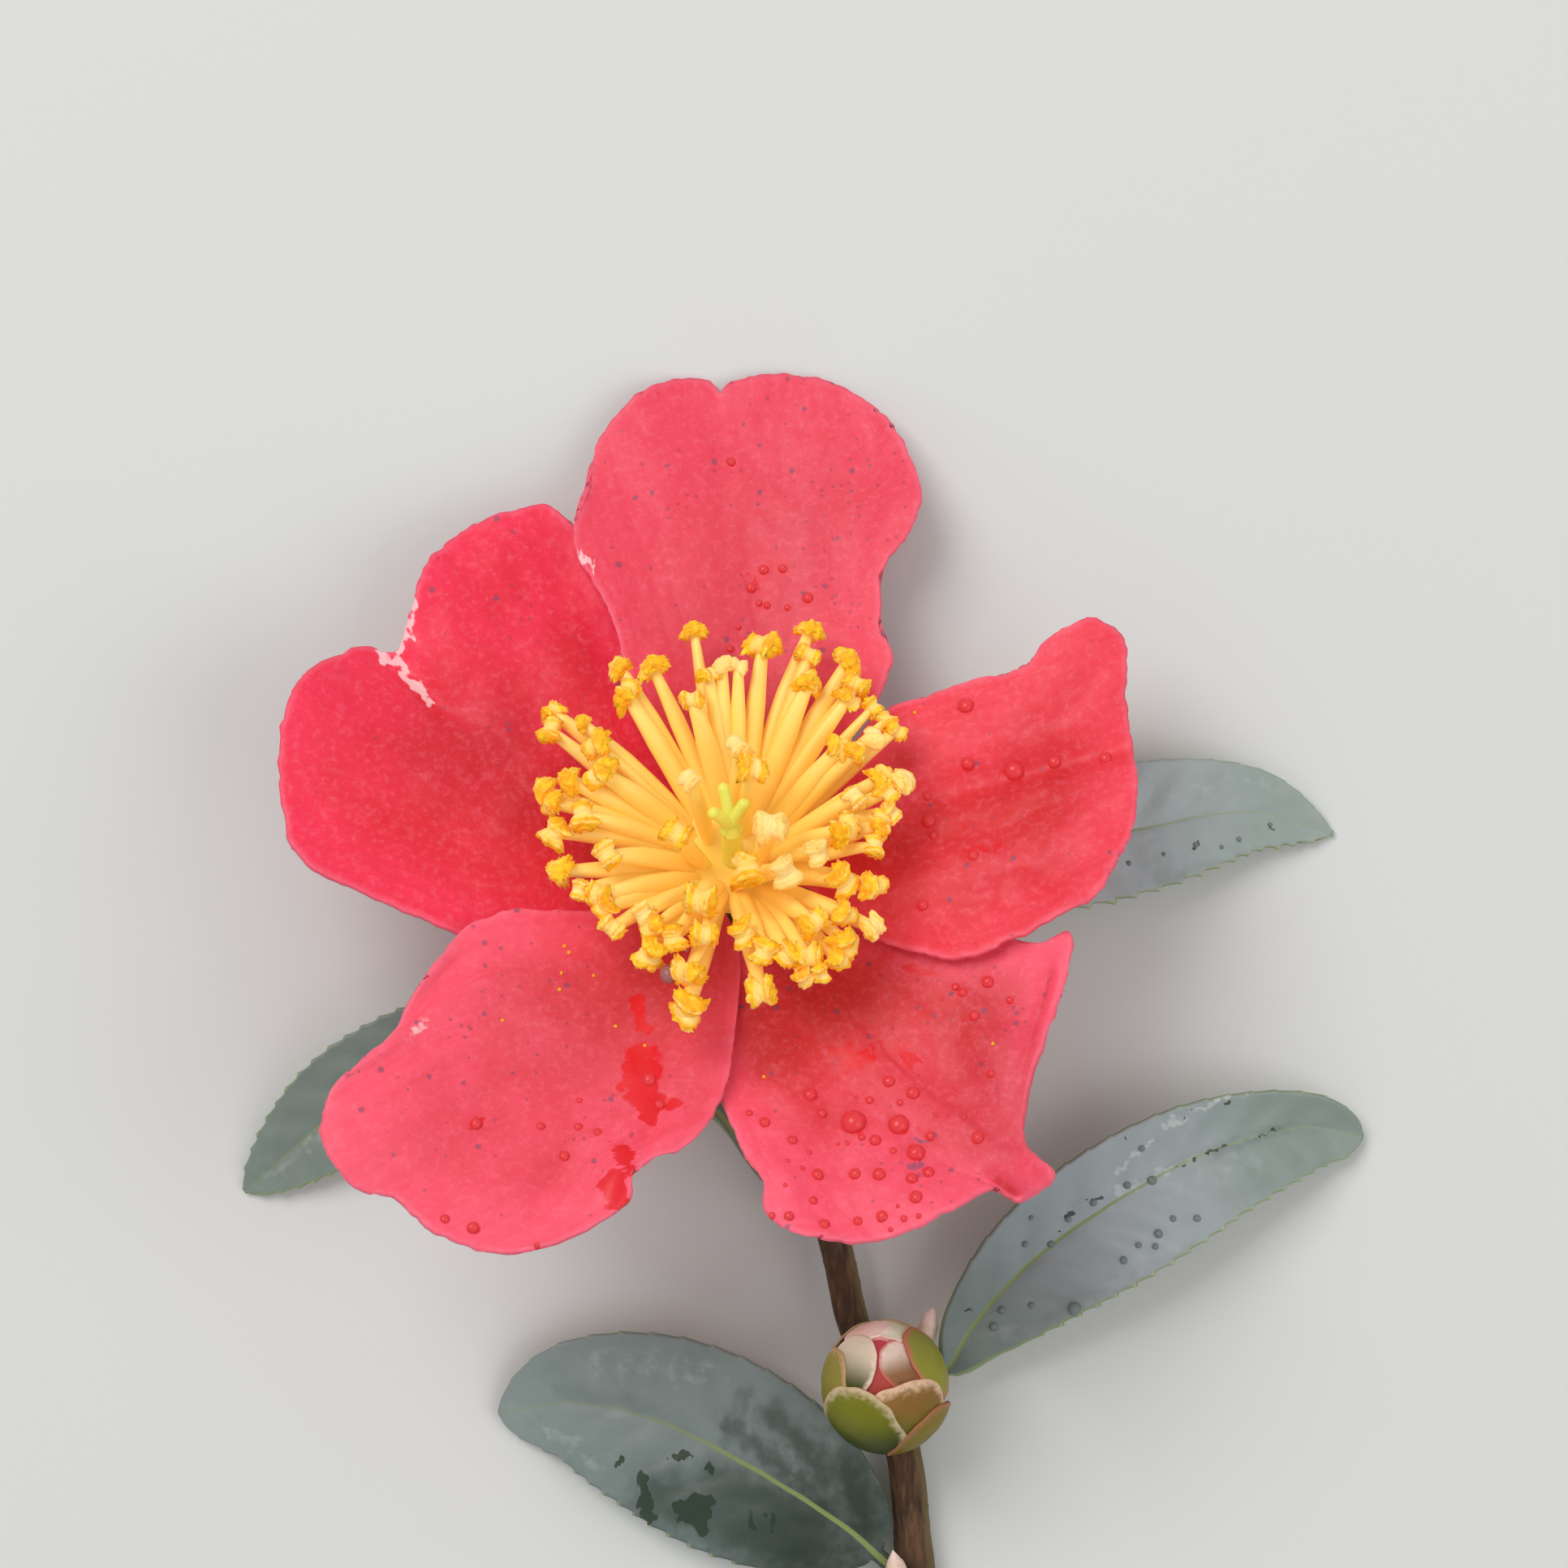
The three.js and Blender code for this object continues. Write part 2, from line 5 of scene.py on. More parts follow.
import bmesh
import bpy
from mathutils import Matrix, Vector, noise
from mathutils.bvhtree import BVHTree
from mathutils.kdtree import KDTree


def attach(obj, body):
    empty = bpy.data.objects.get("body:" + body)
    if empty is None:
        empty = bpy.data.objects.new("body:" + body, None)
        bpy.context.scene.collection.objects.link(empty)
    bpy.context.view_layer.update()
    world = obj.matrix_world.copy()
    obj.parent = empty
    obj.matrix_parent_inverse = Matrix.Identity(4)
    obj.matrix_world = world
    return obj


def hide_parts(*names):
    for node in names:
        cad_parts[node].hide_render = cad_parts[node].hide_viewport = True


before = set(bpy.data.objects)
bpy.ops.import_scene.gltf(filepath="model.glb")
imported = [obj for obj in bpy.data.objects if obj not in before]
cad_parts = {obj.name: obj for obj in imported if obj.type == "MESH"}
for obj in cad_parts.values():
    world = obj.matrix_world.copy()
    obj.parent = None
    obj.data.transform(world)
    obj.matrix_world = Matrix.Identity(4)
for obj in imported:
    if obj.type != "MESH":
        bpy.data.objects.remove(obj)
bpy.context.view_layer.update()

# Stem: the thin woody shoot that carries everything. Brown bark with small raised pores over
# pale wood, swollen where a leaf or bud is attached, and cut square across its lower end.
SPRIG_TO_PART = Matrix.Translation((-1.68, 23.08, 0.0))
MM_TO_METRES = Matrix.Scale(0.001, 4)
STEM_ROUTE = [
    (13.3, -82.8, 1.77), (12.9, -77, 1.8), (11.7, -69.9, 2.0), (10.8, -60.5, 2.5),
    (8.8, -53.4, 2.9), (6.3, -48.2, 3.3), (4.6, -41.0, 3.6), (1.4, -30.4, 3.8),
    (-1.9, -21.1, 3.4), (-3.9, -14.4, 3.3), (-4.3, -11.5, 4.7), (-4.3, -10.4, 7.25),
]
STEM_RADIUS_CUT = 1.8
STEM_RADIUS_TIP = 1.15
STEM_NODES = [((10.4, -69.5), 0.22), ((10.4, -55.0), 0.28), ((3.0, -37.0), 0.2),
              ((-2.9, -16.5), 0.2)]
STEPS_A_SPAN = 24
PORES = 90


def held(value, low=0.0, high=1.0):
    """A value kept between two ends."""
    return min(max(value, low), high)


def bell(away, spread):
    """How strong something still is at a distance from its middle."""
    return math.exp(-(away / spread) ** 2)


def wobble(x, y, z):
    """Smooth unevenness, the same in every run."""
    return noise.noise(Vector((x, y, z)))


def smooth_line(points):
    """A smooth line through the points, read by its share of the way along."""
    knots = [Vector(p) for p in points]
    knots = [2 * knots[0] - knots[1]] + knots + [2 * knots[-1] - knots[-2]]
    fine = []
    for a, b, c, d in zip(knots, knots[1:], knots[2:], knots[3:]):
        t1, t2, t3 = (max((q - p).length ** 0.5, 1e-4) for p, q in ((a, b), (b, c), (c, d)))
        start = ((b - a) / t1 - (c - a) / (t1 + t2) + (c - b) / t2) * t2
        end = ((c - b) / t2 - (d - b) / (t2 + t3) + (d - c) / t3) * t2
        for k in range(STEPS_A_SPAN):
            s = k / STEPS_A_SPAN
            fine.append(b + start * s + (3 * (c - b) - 2 * start - end) * s ** 2
                        + (2 * (b - c) + start + end) * s ** 3)
    fine.append(knots[-2])
    travelled = [0.0]
    for p, q in zip(fine, fine[1:]):
        travelled.append(travelled[-1] + (q - p).length)

    def at(share):
        want = held(share) * travelled[-1]
        low = min(bisect_right(travelled, want), len(fine) - 1) - 1
        gap = travelled[low + 1] - travelled[low]
        return fine[low].lerp(fine[low + 1], (want - travelled[low]) / gap if gap else 0.0)

    at.length = travelled[-1]
    return at


def newly_made(bm):
    """The vertices made since the last call."""
    seen = bm.verts.layers.int.get("seen") or bm.verts.layers.int.new("seen")
    fresh = [v for v in bm.verts if not v[seen]]
    for v in fresh:
        v[seen] = 1
    return fresh


def wrapped_tube(bm, line, radius_at, sides, rings, helper):
    """A capped cylinder bent along a line; radius_at takes the share along and the turn."""
    newly_made(bm)
    made = bmesh.ops.create_cone(bm, cap_ends=True, segments=sides, radius1=1, radius2=1, depth=1)
    uprights = [e for e in {e for v in made["verts"] for e in v.link_edges}
                if abs(e.verts[0].co.z - e.verts[1].co.z) > 0.5]
    bmesh.ops.subdivide_edges(bm, edges=uprights, cuts=rings - 1, use_grid_fill=True)
    verts = newly_made(bm)
    for v in verts:
        share = v.co.z + 0.5
        turn = math.atan2(v.co.y, v.co.x)
        along = (line(share + 0.004) - line(share - 0.004)).normalized()
        across = Vector(helper).cross(along).normalized()
        up = along.cross(across)
        radius = radius_at(share, turn)
        v.co = line(share) + (across * math.cos(turn) + up * math.sin(turn)) * radius
    return verts


def painted(bm, *kinds):
    """Layers of one value a vertex, for the material to read by name."""
    return [bm.verts.layers.float.new(kind) for kind in kinds]


def srgb(red, green, blue):
    """A colour from 0 to 255, as the eye reads it, in the linear values that shaders take."""
    def linear(c):
        c = c / 255
        return c / 12.92 if c <= 0.04045 else ((c + 0.055) / 1.055) ** 2.4
    return (linear(red), linear(green), linear(blue), 1.0)


class Nodes:
    """Short calls that add nodes to one shader tree."""

    def __init__(self, tree):
        self.tree = tree

    def plug(self, value, socket):
        """Link another node's output to a socket, or set it; colours have three values up to 255."""
        if isinstance(value, bpy.types.NodeSocket):
            self.tree.links.new(value, socket)
        else:
            socket.default_value = srgb(*value) if socket.type == "RGBA" else value

    def add(self, kind, sockets=None, **settings):
        """A node with its settings, and its inputs by name or number."""
        new = self.tree.nodes.new("ShaderNode" + kind)
        for key, value in settings.items():
            setattr(new, key, value)
        for key, value in (sockets or {}).items():
            self.plug(value, new.inputs[key])
        return new

    def place(self):
        return self.add("TexCoord").outputs["Object"]

    def work_out(self, operation, *values):
        return self.add("Math", dict(enumerate(values)), operation=operation).outputs[0]

    def grain(self, scale, detail=2.0, roughness=0.5, place=None):
        """Noise over the object's own coordinates, or over others."""
        place = self.place() if place is None else place
        return self.add("TexNoise", {"Vector": place, "Scale": scale, "Detail": detail,
                                     "Roughness": roughness}).outputs[0]

    def ramp(self, value, low, high, start=0.0, end=1.0):
        """A value spread smoothly from one range to another, and held at the ends."""
        return self.add("MapRange", {0: value, 1: low, 2: high, 3: start, 4: end},
                        interpolation_type="SMOOTHSTEP").outputs[0]

    def mix(self, share, a, b):
        return self.add("Mix", {0: share, 6: a, 7: b}, data_type="RGBA").outputs[2]

    def mark(self, kind):
        """A layer painted on the vertices."""
        return self.add("Attribute", attribute_name=kind).outputs["Fac"]

    def ragged(self, kind, grain, by):
        """A painted layer whose outline is broken up by grain."""
        return self.work_out("MULTIPLY_ADD", grain, by, self.mark(kind))

    def blotches(self, first, second, scale, contrast):
        """Soft blotches: one colour wandering into another over the surface."""
        given = {"First": first, "Second": second, "Scale": scale, "Contrast": contrast}
        return self.add("Group", given, node_tree=soft_blotches).outputs["Colour"]


class Skin(Nodes):
    """A material with one Principled shader, whose colour is laid down in layers."""

    def __init__(self, name, **constants):
        self.material = bpy.data.materials.new(name.replace("_", " ").capitalize())
        self.material.use_nodes = True
        super().__init__(self.material.node_tree)
        self.inputs = self.tree.nodes["Principled BSDF"].inputs
        for key, value in constants.items():
            self.plug(value, self.inputs[key.replace("_", " ").title().replace("Ior", "IOR")])

    def lay(self, colour, value, low=0.0, high=1.0, start=0.0, end=1.0):
        """Lay a colour over what is there, by a value spread from one range to another."""
        self.colour = self.mix(self.ramp(value, low, high, start, end), self.colour, colour)

    def done(self, relief=None, strength=0.3, distance=0.0001):
        """The finished material, with its colour and its fine relief on the shader."""
        self.plug(self.colour, self.inputs["Base Color"])
        # A material given an emission strength glows in its own colour: painted light.
        if self.inputs["Emission Strength"].default_value > 0:
            self.plug(self.colour, self.inputs["Emission Color"])
        if relief is not None:
            bump = self.add("Bump", {"Strength": strength, "Distance": distance, "Height": relief})
            self.plug(bump.outputs[0], self.inputs["Normal"])
        return self.material


soft_blotches = bpy.data.node_groups.new("Soft blotches", "ShaderNodeTree")
for name, kind in (("Scale", "Float"), ("Contrast", "Float"), ("First", "Color"), ("Second", "Color")):
    soft_blotches.interface.new_socket(name=name, in_out="INPUT", socket_type="NodeSocket" + kind)
soft_blotches.interface.new_socket(name="Colour", in_out="OUTPUT", socket_type="NodeSocketColor")
given = soft_blotches.nodes.new("NodeGroupInput").outputs
inside = Nodes(soft_blotches)
cloud = inside.work_out("SUBTRACT", inside.grain(given["Scale"], 4.0, 0.6), 0.5)
share = inside.add("Math", {0: cloud, 1: given["Contrast"], 2: 0.5}, operation="MULTIPLY_ADD",
                   use_clamp=True).outputs[0]
leaving = soft_blotches.nodes.new("NodeGroupOutput").inputs["Colour"]
inside.plug(inside.mix(share, given["First"], given["Second"]), leaving)


def settle(name, bm, material, slot, *nodes, placed=None):
    """Bring a finished mesh from the sprig's millimetres, or a place in it, into the part's frame."""
    newly_made(bm)
    bm.verts.layers.int.remove(bm.verts.layers.int["seen"])
    for matrix in (placed, MM_TO_METRES @ SPRIG_TO_PART):
        if matrix is not None:
            bmesh.ops.transform(bm, matrix=matrix, verts=bm.verts)
    mesh = bpy.data.meshes.new(name)
    bm.to_mesh(mesh)
    bm.free()
    mesh.shade_smooth()
    mesh.materials.append(material)
    piece = bpy.data.objects.new(name, mesh)
    bpy.context.collection.objects.link(piece)
    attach(piece, "root")
    if nodes:
        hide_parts(*nodes)
    return piece


def bark_radius(line):
    """The radius at a share and a turn: tapered, swollen at the nodes, with ridges and pores."""
    rng = random.Random(31)
    pores = [(rng.uniform(0.01, 0.97), rng.uniform(-math.pi, math.pi), rng.uniform(0.12, 0.26),
              rng.uniform(0.05, 0.11)) for __ in range(PORES)]

    def at(share, turn):
        radius = STEM_RADIUS_CUT + (STEM_RADIUS_TIP - STEM_RADIUS_CUT) * max(share, 0) ** 0.8
        here = line(share)
        for (x, y), swell in STEM_NODES:
            radius += swell * bell(math.hypot(here.x - x, here.y - y), 1.9)
        along = share * line.length
        x, y, z = math.cos(turn) * 2.6, math.sin(turn) * 2.6, along * 0.22
        rough = wobble(x, y, z) * 0.09 + wobble(x * 3.2, y * 3.2, along * 1.1) * 0.045
        rough += max(wobble(x * 1.5 + 9, y * 1.5, along * 0.9) - 0.2, 0) * 0.12
        for at_share, at_turn, size, rise in pores:
            run = (share - at_share) * line.length
            if abs(run) < 0.8:
                round_by = (turn - at_turn + math.pi) % (2 * math.pi) - math.pi
                rough += rise * bell(run, size * 1.6) * bell(round_by * radius, size)
        return radius + rough * min(1.0, along / 0.5 + 0.3)

    return at


stem_line = smooth_line(STEM_ROUTE)
bm = bmesh.new()
wrapped_tube(bm, stem_line, bark_radius(stem_line), 44, 330, (1, 0, 0))
[cut_wood] = painted(bm, "cut_wood")
bm.faces.ensure_lookup_table()
end_face = min((f for f in bm.faces if len(f.verts) > 4), key=lambda f: f.calc_center_median().y)
for v in end_face.verts:
    v.co.y = STEM_ROUTE[0][1]
for rim, step in ((0.2, 0.0), (0.12, -0.05), (0.7, 0.06)):
    bmesh.ops.inset_region(bm, faces=[end_face], thickness=rim, depth=step, use_even_offset=True)
    for v in end_face.verts:
        v[cut_wood] = 0.0 if step == 0 else 1.0
bmesh.ops.poke(bm, faces=[end_face])
bmesh.ops.recalc_face_normals(bm, faces=bm.faces)

bark = Skin("Thin brown bark", roughness=0.78, specular_ior_level=0.35)
strands = bark.add("Mapping", {"Vector": bark.place(), "Scale": (1.0, 0.16, 1.0)}).outputs[0]
fibre = bark.grain(1500.0, 5.0, 0.65, strands)
bark.colour = bark.blotches((51, 34, 23), (82, 55, 35), 260.0, 3.0)
bark.lay((110, 78, 50), fibre, 0.42, 0.7)
# The side of the shoot facing +x is laid lighter: painted light on its lit side.
side = bark.add("SeparateXYZ", {0: bark.add("NewGeometry").outputs["Normal"]}).outputs[0]
bark.lay((120, 104, 66), side, 0.45, 0.95, 0.0, 0.7)
wood = bark.mix(bark.grain(2600.0), (196, 190, 138), (226, 214, 172))
bark.lay(wood, bark.mark("cut_wood"), 0.35, 0.65)
settle("stem_bark", bm, bark.done(fibre, 0.5, 0.0002), "bark", "stem")

# Calyx: the small green cup behind the bloom with five sepals pressed to the petals' backs.
# It is all one soft tissue with the stem's tip; its sepals have thin brown margins.
BLOOM_TO_SPRIG = Matrix.Translation((-4.3, -8.0, 12.62)) @ Matrix.Rotation(math.radians(-24), 4, "X")
BOWL_SLOPE = 11.5
BOWL_SLOPE_CHANGE = 3
SEPALS = 5
FIRST_SEPAL_TURN = 51
SEPAL_THICKNESS = 0.5
CALYX_PROFILE = [
    (0, -5.5), (1.35, -5.5), (1.45, -4.9), (1.75, -4.1), (2.4, -3.2), (3.0, -2.4), (3.3, -1.2),
    (3.15, -0.3), (2.7, 0.3), (0, 0.3),
]


def bowl(x, y):
    """Height of the shallow bowl that the petals lie in, steeper to the left and right."""
    slope = math.radians(BOWL_SLOPE + BOWL_SLOPE_CHANGE * math.cos(2 * math.atan2(y, x)))
    r = math.hypot(x, y)
    return math.tan(slope) * r * (1.25 - 0.25 * r / 40)


def turned(bm, profile, steps):
    """A closed round shape from a profile of radius and height."""
    line = [bm.verts.new((r, 0, z)) for r, z in profile]
    edges = [bm.edges.new(pair) for pair in zip(line, line[1:])]
    bmesh.ops.spin(bm, geom=line + edges, cent=(0, 0, 0), axis=(0, 0, 1), angle=2 * math.pi,
                   steps=steps, use_merge=True)
    bmesh.ops.remove_doubles(bm, verts=bm.verts, dist=1e-4)
    bmesh.ops.recalc_face_normals(bm, faces=bm.faces)


bm = bmesh.new()
turned(bm, CALYX_PROFILE, 40)
for v in bm.verts:
    v.co *= 1 + 0.035 * noise.noise(v.co * 1.1)
[margin] = painted(bm, "margin")
for k in range(SEPALS):
    turn = math.radians(FIRST_SEPAL_TURN + 360 / SEPALS * k)
    made = bmesh.ops.create_grid(bm, x_segments=18, y_segments=22, size=0.5)
    for v in made["verts"]:
        aside, out = 2 * v.co.x, v.co.y + 0.5
        reach = 1.6 + 6.4 * out
        half = 3.1 * math.sqrt(max(0.02, 1 - out ** 3)) * (0.55 + 0.45 * out)
        x = reach * math.cos(turn) - aside * half * math.sin(turn)
        y = reach * math.sin(turn) + aside * half * math.cos(turn)
        v.co = Vector((x, y, bowl(x, y) - 2.0 + 0.12 * wobble(x, y, k)))
        v[margin] = max(abs(aside), out) ** 6
    sepal = list({f for v in made["verts"] for f in v.link_faces})
    bmesh.ops.solidify(bm, geom=sepal, thickness=SEPAL_THICKNESS)
green = Skin("Green calyx", roughness=0.55, subsurface_weight=0.08, subsurface_scale=0.001)
green.colour = green.blotches((104, 118, 52), (146, 150, 78), 420.0, 3.2)
green.lay((150, 106, 76), green.mark("margin"), 0.35, 1.0)
settle("calyx_cup", bm, green.done(), "calyx", "calyx", placed=BLOOM_TO_SPRIG)

# Petals: five soft, thin blades on narrow claws in two layers. Each is one sheet with fine
# veins, a frilled margin, and the dents, folds, tears and specks of an open bloom in rain.
PETALS = {
    "petal_top": dict(
        claw=88, layer=1, sides=(0.28, 0.36), waves=3, wave=0.45, seed=3,
        outline=[
            (-4.2, 8.0), (-8.6, 15.0), (-10.9, 22.5), (-14.1, 28.4), (-13.1, 33.8), (-12.2, 39.0),
            (-8.1, 43.8), (-4.4, 45.35), (-2.1, 45.0), (-1.35, 43.8), (-0.6, 44.7), (4.7, 45.6),
            (9.9, 44.2), (14.0, 39.8), (16.4, 32.9), (15.4, 29.5), (13.0, 26.3), (12.8, 21.3),
            (13.7, 18.0), (11.0, 12.5), (4.6, 6.6)],
        dents=[(15, 32, 4, 1.2), (-12.5, 31, 4, 0.9), (4, 40, 6, -0.6), (-4.5, 44, 5.5, -0.42)],
        folds=[(-6, 14, -11, 32, 2.4, 0.5), (2, 12, 4, 40, 2.6, -0.45), (9, 14, 13, 30, 2.0, 0.4)],
        inner=(232, 62, 76), outer=(238, 70, 92), deep=(220, 52, 64),
        dull=(214, 76, 92), shade=(196, 46, 58)),
    "petal_upper_left": dict(
        claw=160, layer=-1, sides=(0.3, 0.24), waves=3, wave=0.5, seed=11,
        outline=[
            (-5.5, -3.2), (-12.0, -7.2), (-18.0, -8.6), (-23.2, -7.8), (-26.4, -6.7),
            (-31.5, -4.8), (-35.7, -3.0), (-37.8, 0.3), (-38.8, 6.4), (-37.6, 13.1),
            (-35.1, 16.6), (-32.2, 18.7), (-29.5, 18.6), (-28.3, 22.0), (-27.0, 26.5),
            (-24.1, 30.0), (-19.6, 32.3), (-16.5, 32.9), (-12.8, 29.0), (-8.5, 21.0),
            (-5.0, 11.5), (-3.6, 5.2)],
        dents=[(-37.5, 12, 5, 1.5), (-20, 31, 4, 0.8), (-27, 10, 8, -0.8)],
        folds=[(-30.5, 18.5, -24, 12.5, 1.6, -0.9), (-11, 2, -34, 2, 3.0, -0.55),
               (-9, 9, -20, 26, 2.6, 0.4)],
        inner=(218, 30, 38), outer=(247, 48, 82), deep=(208, 27, 33),
        dull=(232, 50, 58), shade=(194, 32, 38)),
    "petal_lower_left": dict(
        claw=230, layer=1, sides=(0.38, 0.24), waves=4, wave=0.45, seed=23,
        outline=[
            (0.4, -7.4), (0.2, -15.2), (-0.9, -22.0), (-3.3, -26.2), (-7.8, -29.0), (-8.4, -31.6),
            (-11.8, -34.4), (-18.6, -36.5), (-24.4, -35.0), (-27.6, -32.2), (-31.1, -31.4),
            (-33.7, -27.1), (-32.7, -23.2), (-29.2, -19.4), (-26.9, -14.9), (-24.8, -11.2),
            (-22.2, -7.5), (-18.2, -5.9), (-12.4, -5.2), (-6.5, -2.6)],
        dents=[(-8, -29.5, 3.2, 1.2), (-31, -24, 5, 1.0), (-17, -21, 8, -0.7)],
        folds=[(-5.6, -22, -9.4, -33, 0.9, -0.8), (-3.2, -25.0, -7.4, -27.4, 0.8, 0.7),
               (-8, -12, -27, -20, 2.6, 0.5), (-8, -14, -16, -33, 2.4, -0.5)],
        inner=(222, 60, 70), outer=(254, 88, 112), deep=(206, 48, 52),
        dull=(214, 74, 88), shade=(196, 52, 56)),
    "petal_lower_right": dict(
        claw=305, layer=-1, sides=(0.26, 0.32), waves=4, wave=0.4, seed=37,
        outline=[
            (6.0, -1.9), (13.0, -4.8), (19.4, -7.5), (23.2, -8.2), (25.9, -9.0), (28.3, -8.5),
            (28.1, -12.0), (26.3, -17.2), (24.6, -22.3), (24.4, -27.0), (26.5, -30.6),
            (23.4, -31.5), (22.2, -30.4), (20.6, -30.8), (16.4, -33.3), (10.0, -34.7),
            (5.1, -33.9), (2.7, -32.0), (2.7, -29.8), (1.0, -26.7), (-0.9, -21.8), (-1.9, -15.5),
            (-0.8, -8.0)],
        dents=[(26.5, -30, 2.0, 1.9), (13, -25, 7, -0.6), (4, -30, 3, 0.7), (28.4, -9, 1.6, 0.7)],
        folds=[(21.6, -29.2, 24.2, -31.4, 0.6, -1.1), (17, -12, 21.5, -28, 2.2, -0.8),
               (3, -12, 6, -30, 2.4, 0.5), (26.7, -12, 24.0, -21, 0.6, -0.5),
               (27.6, -11, 24.6, -24, 0.6, 0.5)],
        inner=(214, 44, 50), outer=(254, 88, 114), deep=(204, 38, 38),
        dull=(214, 58, 60), shade=(190, 38, 36)),
    "petal_right": dict(
        claw=14, layer=1, sides=(0.36, 0.34), waves=3, wave=0.45, seed=41,
        outline=[
            (6.0, 5.5), (10.5, 10.8), (13.7, 13.7), (16.9, 14.3), (21.4, 15.4), (25.2, 16.0),
            (26.6, 17.8), (28.6, 19.1), (31.0, 19.8), (33.6, 17.6), (33.5, 12.6), (34.2, 7.5),
            (34.0, 1.2), (32.3, -2.9), (30.1, -6.4), (28.4, -6.9), (26.6, -7.7), (25.1, -8.5),
            (23.1, -9.1), (19.7, -10.3), (14.7, -9.1), (10.0, -6.2), (6.2, -2.2)],
        dents=[(31.5, 17, 4.5, 1.6), (31, -3, 4, 0.8)],
        folds=[(14.5, 5.0, 34.0, 8.2, 1.7, -1.3), (13, 10, 30, 15, 2.6, 0.5),
               (12, -1, 28, -3, 2.4, 0.4), (18.4, -10.2, 16.8, -6.2, 0.8, -0.5),
               (22.6, -9.2, 21.2, -4.4, 1.2, 0.35), (28.4, -6.8, 24.4, -3.2, 0.9, -0.45)],
        inner=(206, 32, 38), outer=(244, 64, 82), deep=(206, 30, 30),
        dull=(200, 90, 104), shade=(206, 34, 28)),
}
PETAL_COLUMNS = 150
PETAL_ROWS = 92
PETAL_THICKNESS = 0.46
PETAL_LAYER_RISE = 0.8
CLAW_START = 3.4
CLAW_WIDTH = 3.4
RIM_STEPS = 899
FAIRING_ROUNDS = 40

# Where rain drops stand on each blade, as seen along the bloom, with their widths.
PETAL_DROPS = {
    "petal_top": [
        (2.5, 27.2, 0.9), (4.2, 27.2, 0.8), (1.4, 25.6, 0.9), (2.8, 24.0, 0.7), (2.1, 24.2, 0.6),
        (6.4, 24.2, 1.0), (-0.4, 19.8, 0.7), (-0.4, 37.4, 0.8), (4.6, 23.5, 0.6), (0.3, 21.9, 0.5)],
    "petal_lower_left": [
        (-13.9, -27.6, 0.9), (-15.9, -25.1, 0.7), (-12.8, -24.9, 0.7), (-11.2, -25.4, 0.7),
        (-21.2, -25.2, 1.0), (-21.1, -34.6, 1.0), (-23.4, -34.0, 0.8), (-12.8, -22.4, 0.5),
        (-9.4, -33.3, 0.7), (-7.0, -20.5, 1.2), (-6.1, -22.6, 0.9), (-15.9, -35.9, 0.5)],
    "petal_lower_right": [
        (10.1, -23.9, 2.1), (13.9, -24.2, 1.8), (13.1, -20.4, 1.0), (15.1, -21.5, 1.1),
        (6.5, -21.3, 1.1), (21.5, -11.9, 1.1), (20.3, -14.9, 0.9), (19.4, -12.7, 0.8),
        (18.8, -12.1, 0.7), (23.3, -13.7, 0.7), (21.6, -20.3, 0.7), (20.4, -25.9, 1.1),
        (16.5, -25.4, 0.8), (15.3, -26.8, 1.5), (16.3, -28.7, 1.0), (14.9, -29.3, 1.0),
        (12.2, -28.8, 1.1), (10.2, -28.6, 1.0), (7.1, -28.7, 1.0), (2.7, -23.9, 0.9),
        (1.4, -23.0, 0.6), (7.5, -23.0, 0.8), (11.5, -21.9, 0.7), (14.0, -22.3, 0.6),
        (11.9, -25.6, 1.0), (5.0, -25.6, 0.8), (15.2, -31.1, 1.1), (12.4, -32.5, 1.0),
        (10.4, -32.8, 0.8), (7.6, -33.2, 0.9), (4.7, -32.6, 0.8), (6.7, -31.1, 0.7),
        (6.4, -26.6, 0.45), (10.8, -25.3, 0.6), (9.6, -25.8, 0.4), (8.8, -25.8, 0.35),
        (13.4, -26.6, 0.6), (19.3, -23.9, 0.35), (18.0, -23.7, 0.3), (17.0, -23.6, 0.45),
        (18.6, -21.1, 0.3), (19.4, -15.0, 0.4), (17.7, -13.1, 0.35), (10.4, -21.5, 0.35),
        (5.8, -28.2, 0.45), (4.4, -29.9, 0.4), (3.3, -32.5, 0.6), (21.0, -19.1, 0.3),
        (4.6, -27.6, 0.4), (12.5, -16.6, 0.35), (13.7, -31.8, 0.35), (14.2, -32.9, 0.6),
        (15.4, -32.8, 0.5), (13.1, -33.7, 0.45)],
    "petal_right": [
        (20.1, 7.7, 1.1), (24.1, 7.0, 1.7), (27.5, 7.4, 1.2), (31.8, 7.3, 1.1), (16.7, 2.7, 1.2),
        (16.1, -5.1, 1.0), (20.0, 12.8, 1.4), (16.6, 5.2, 0.7), (17.1, 1.3, 0.7), (20.4, -1.2, 0.9)],
}

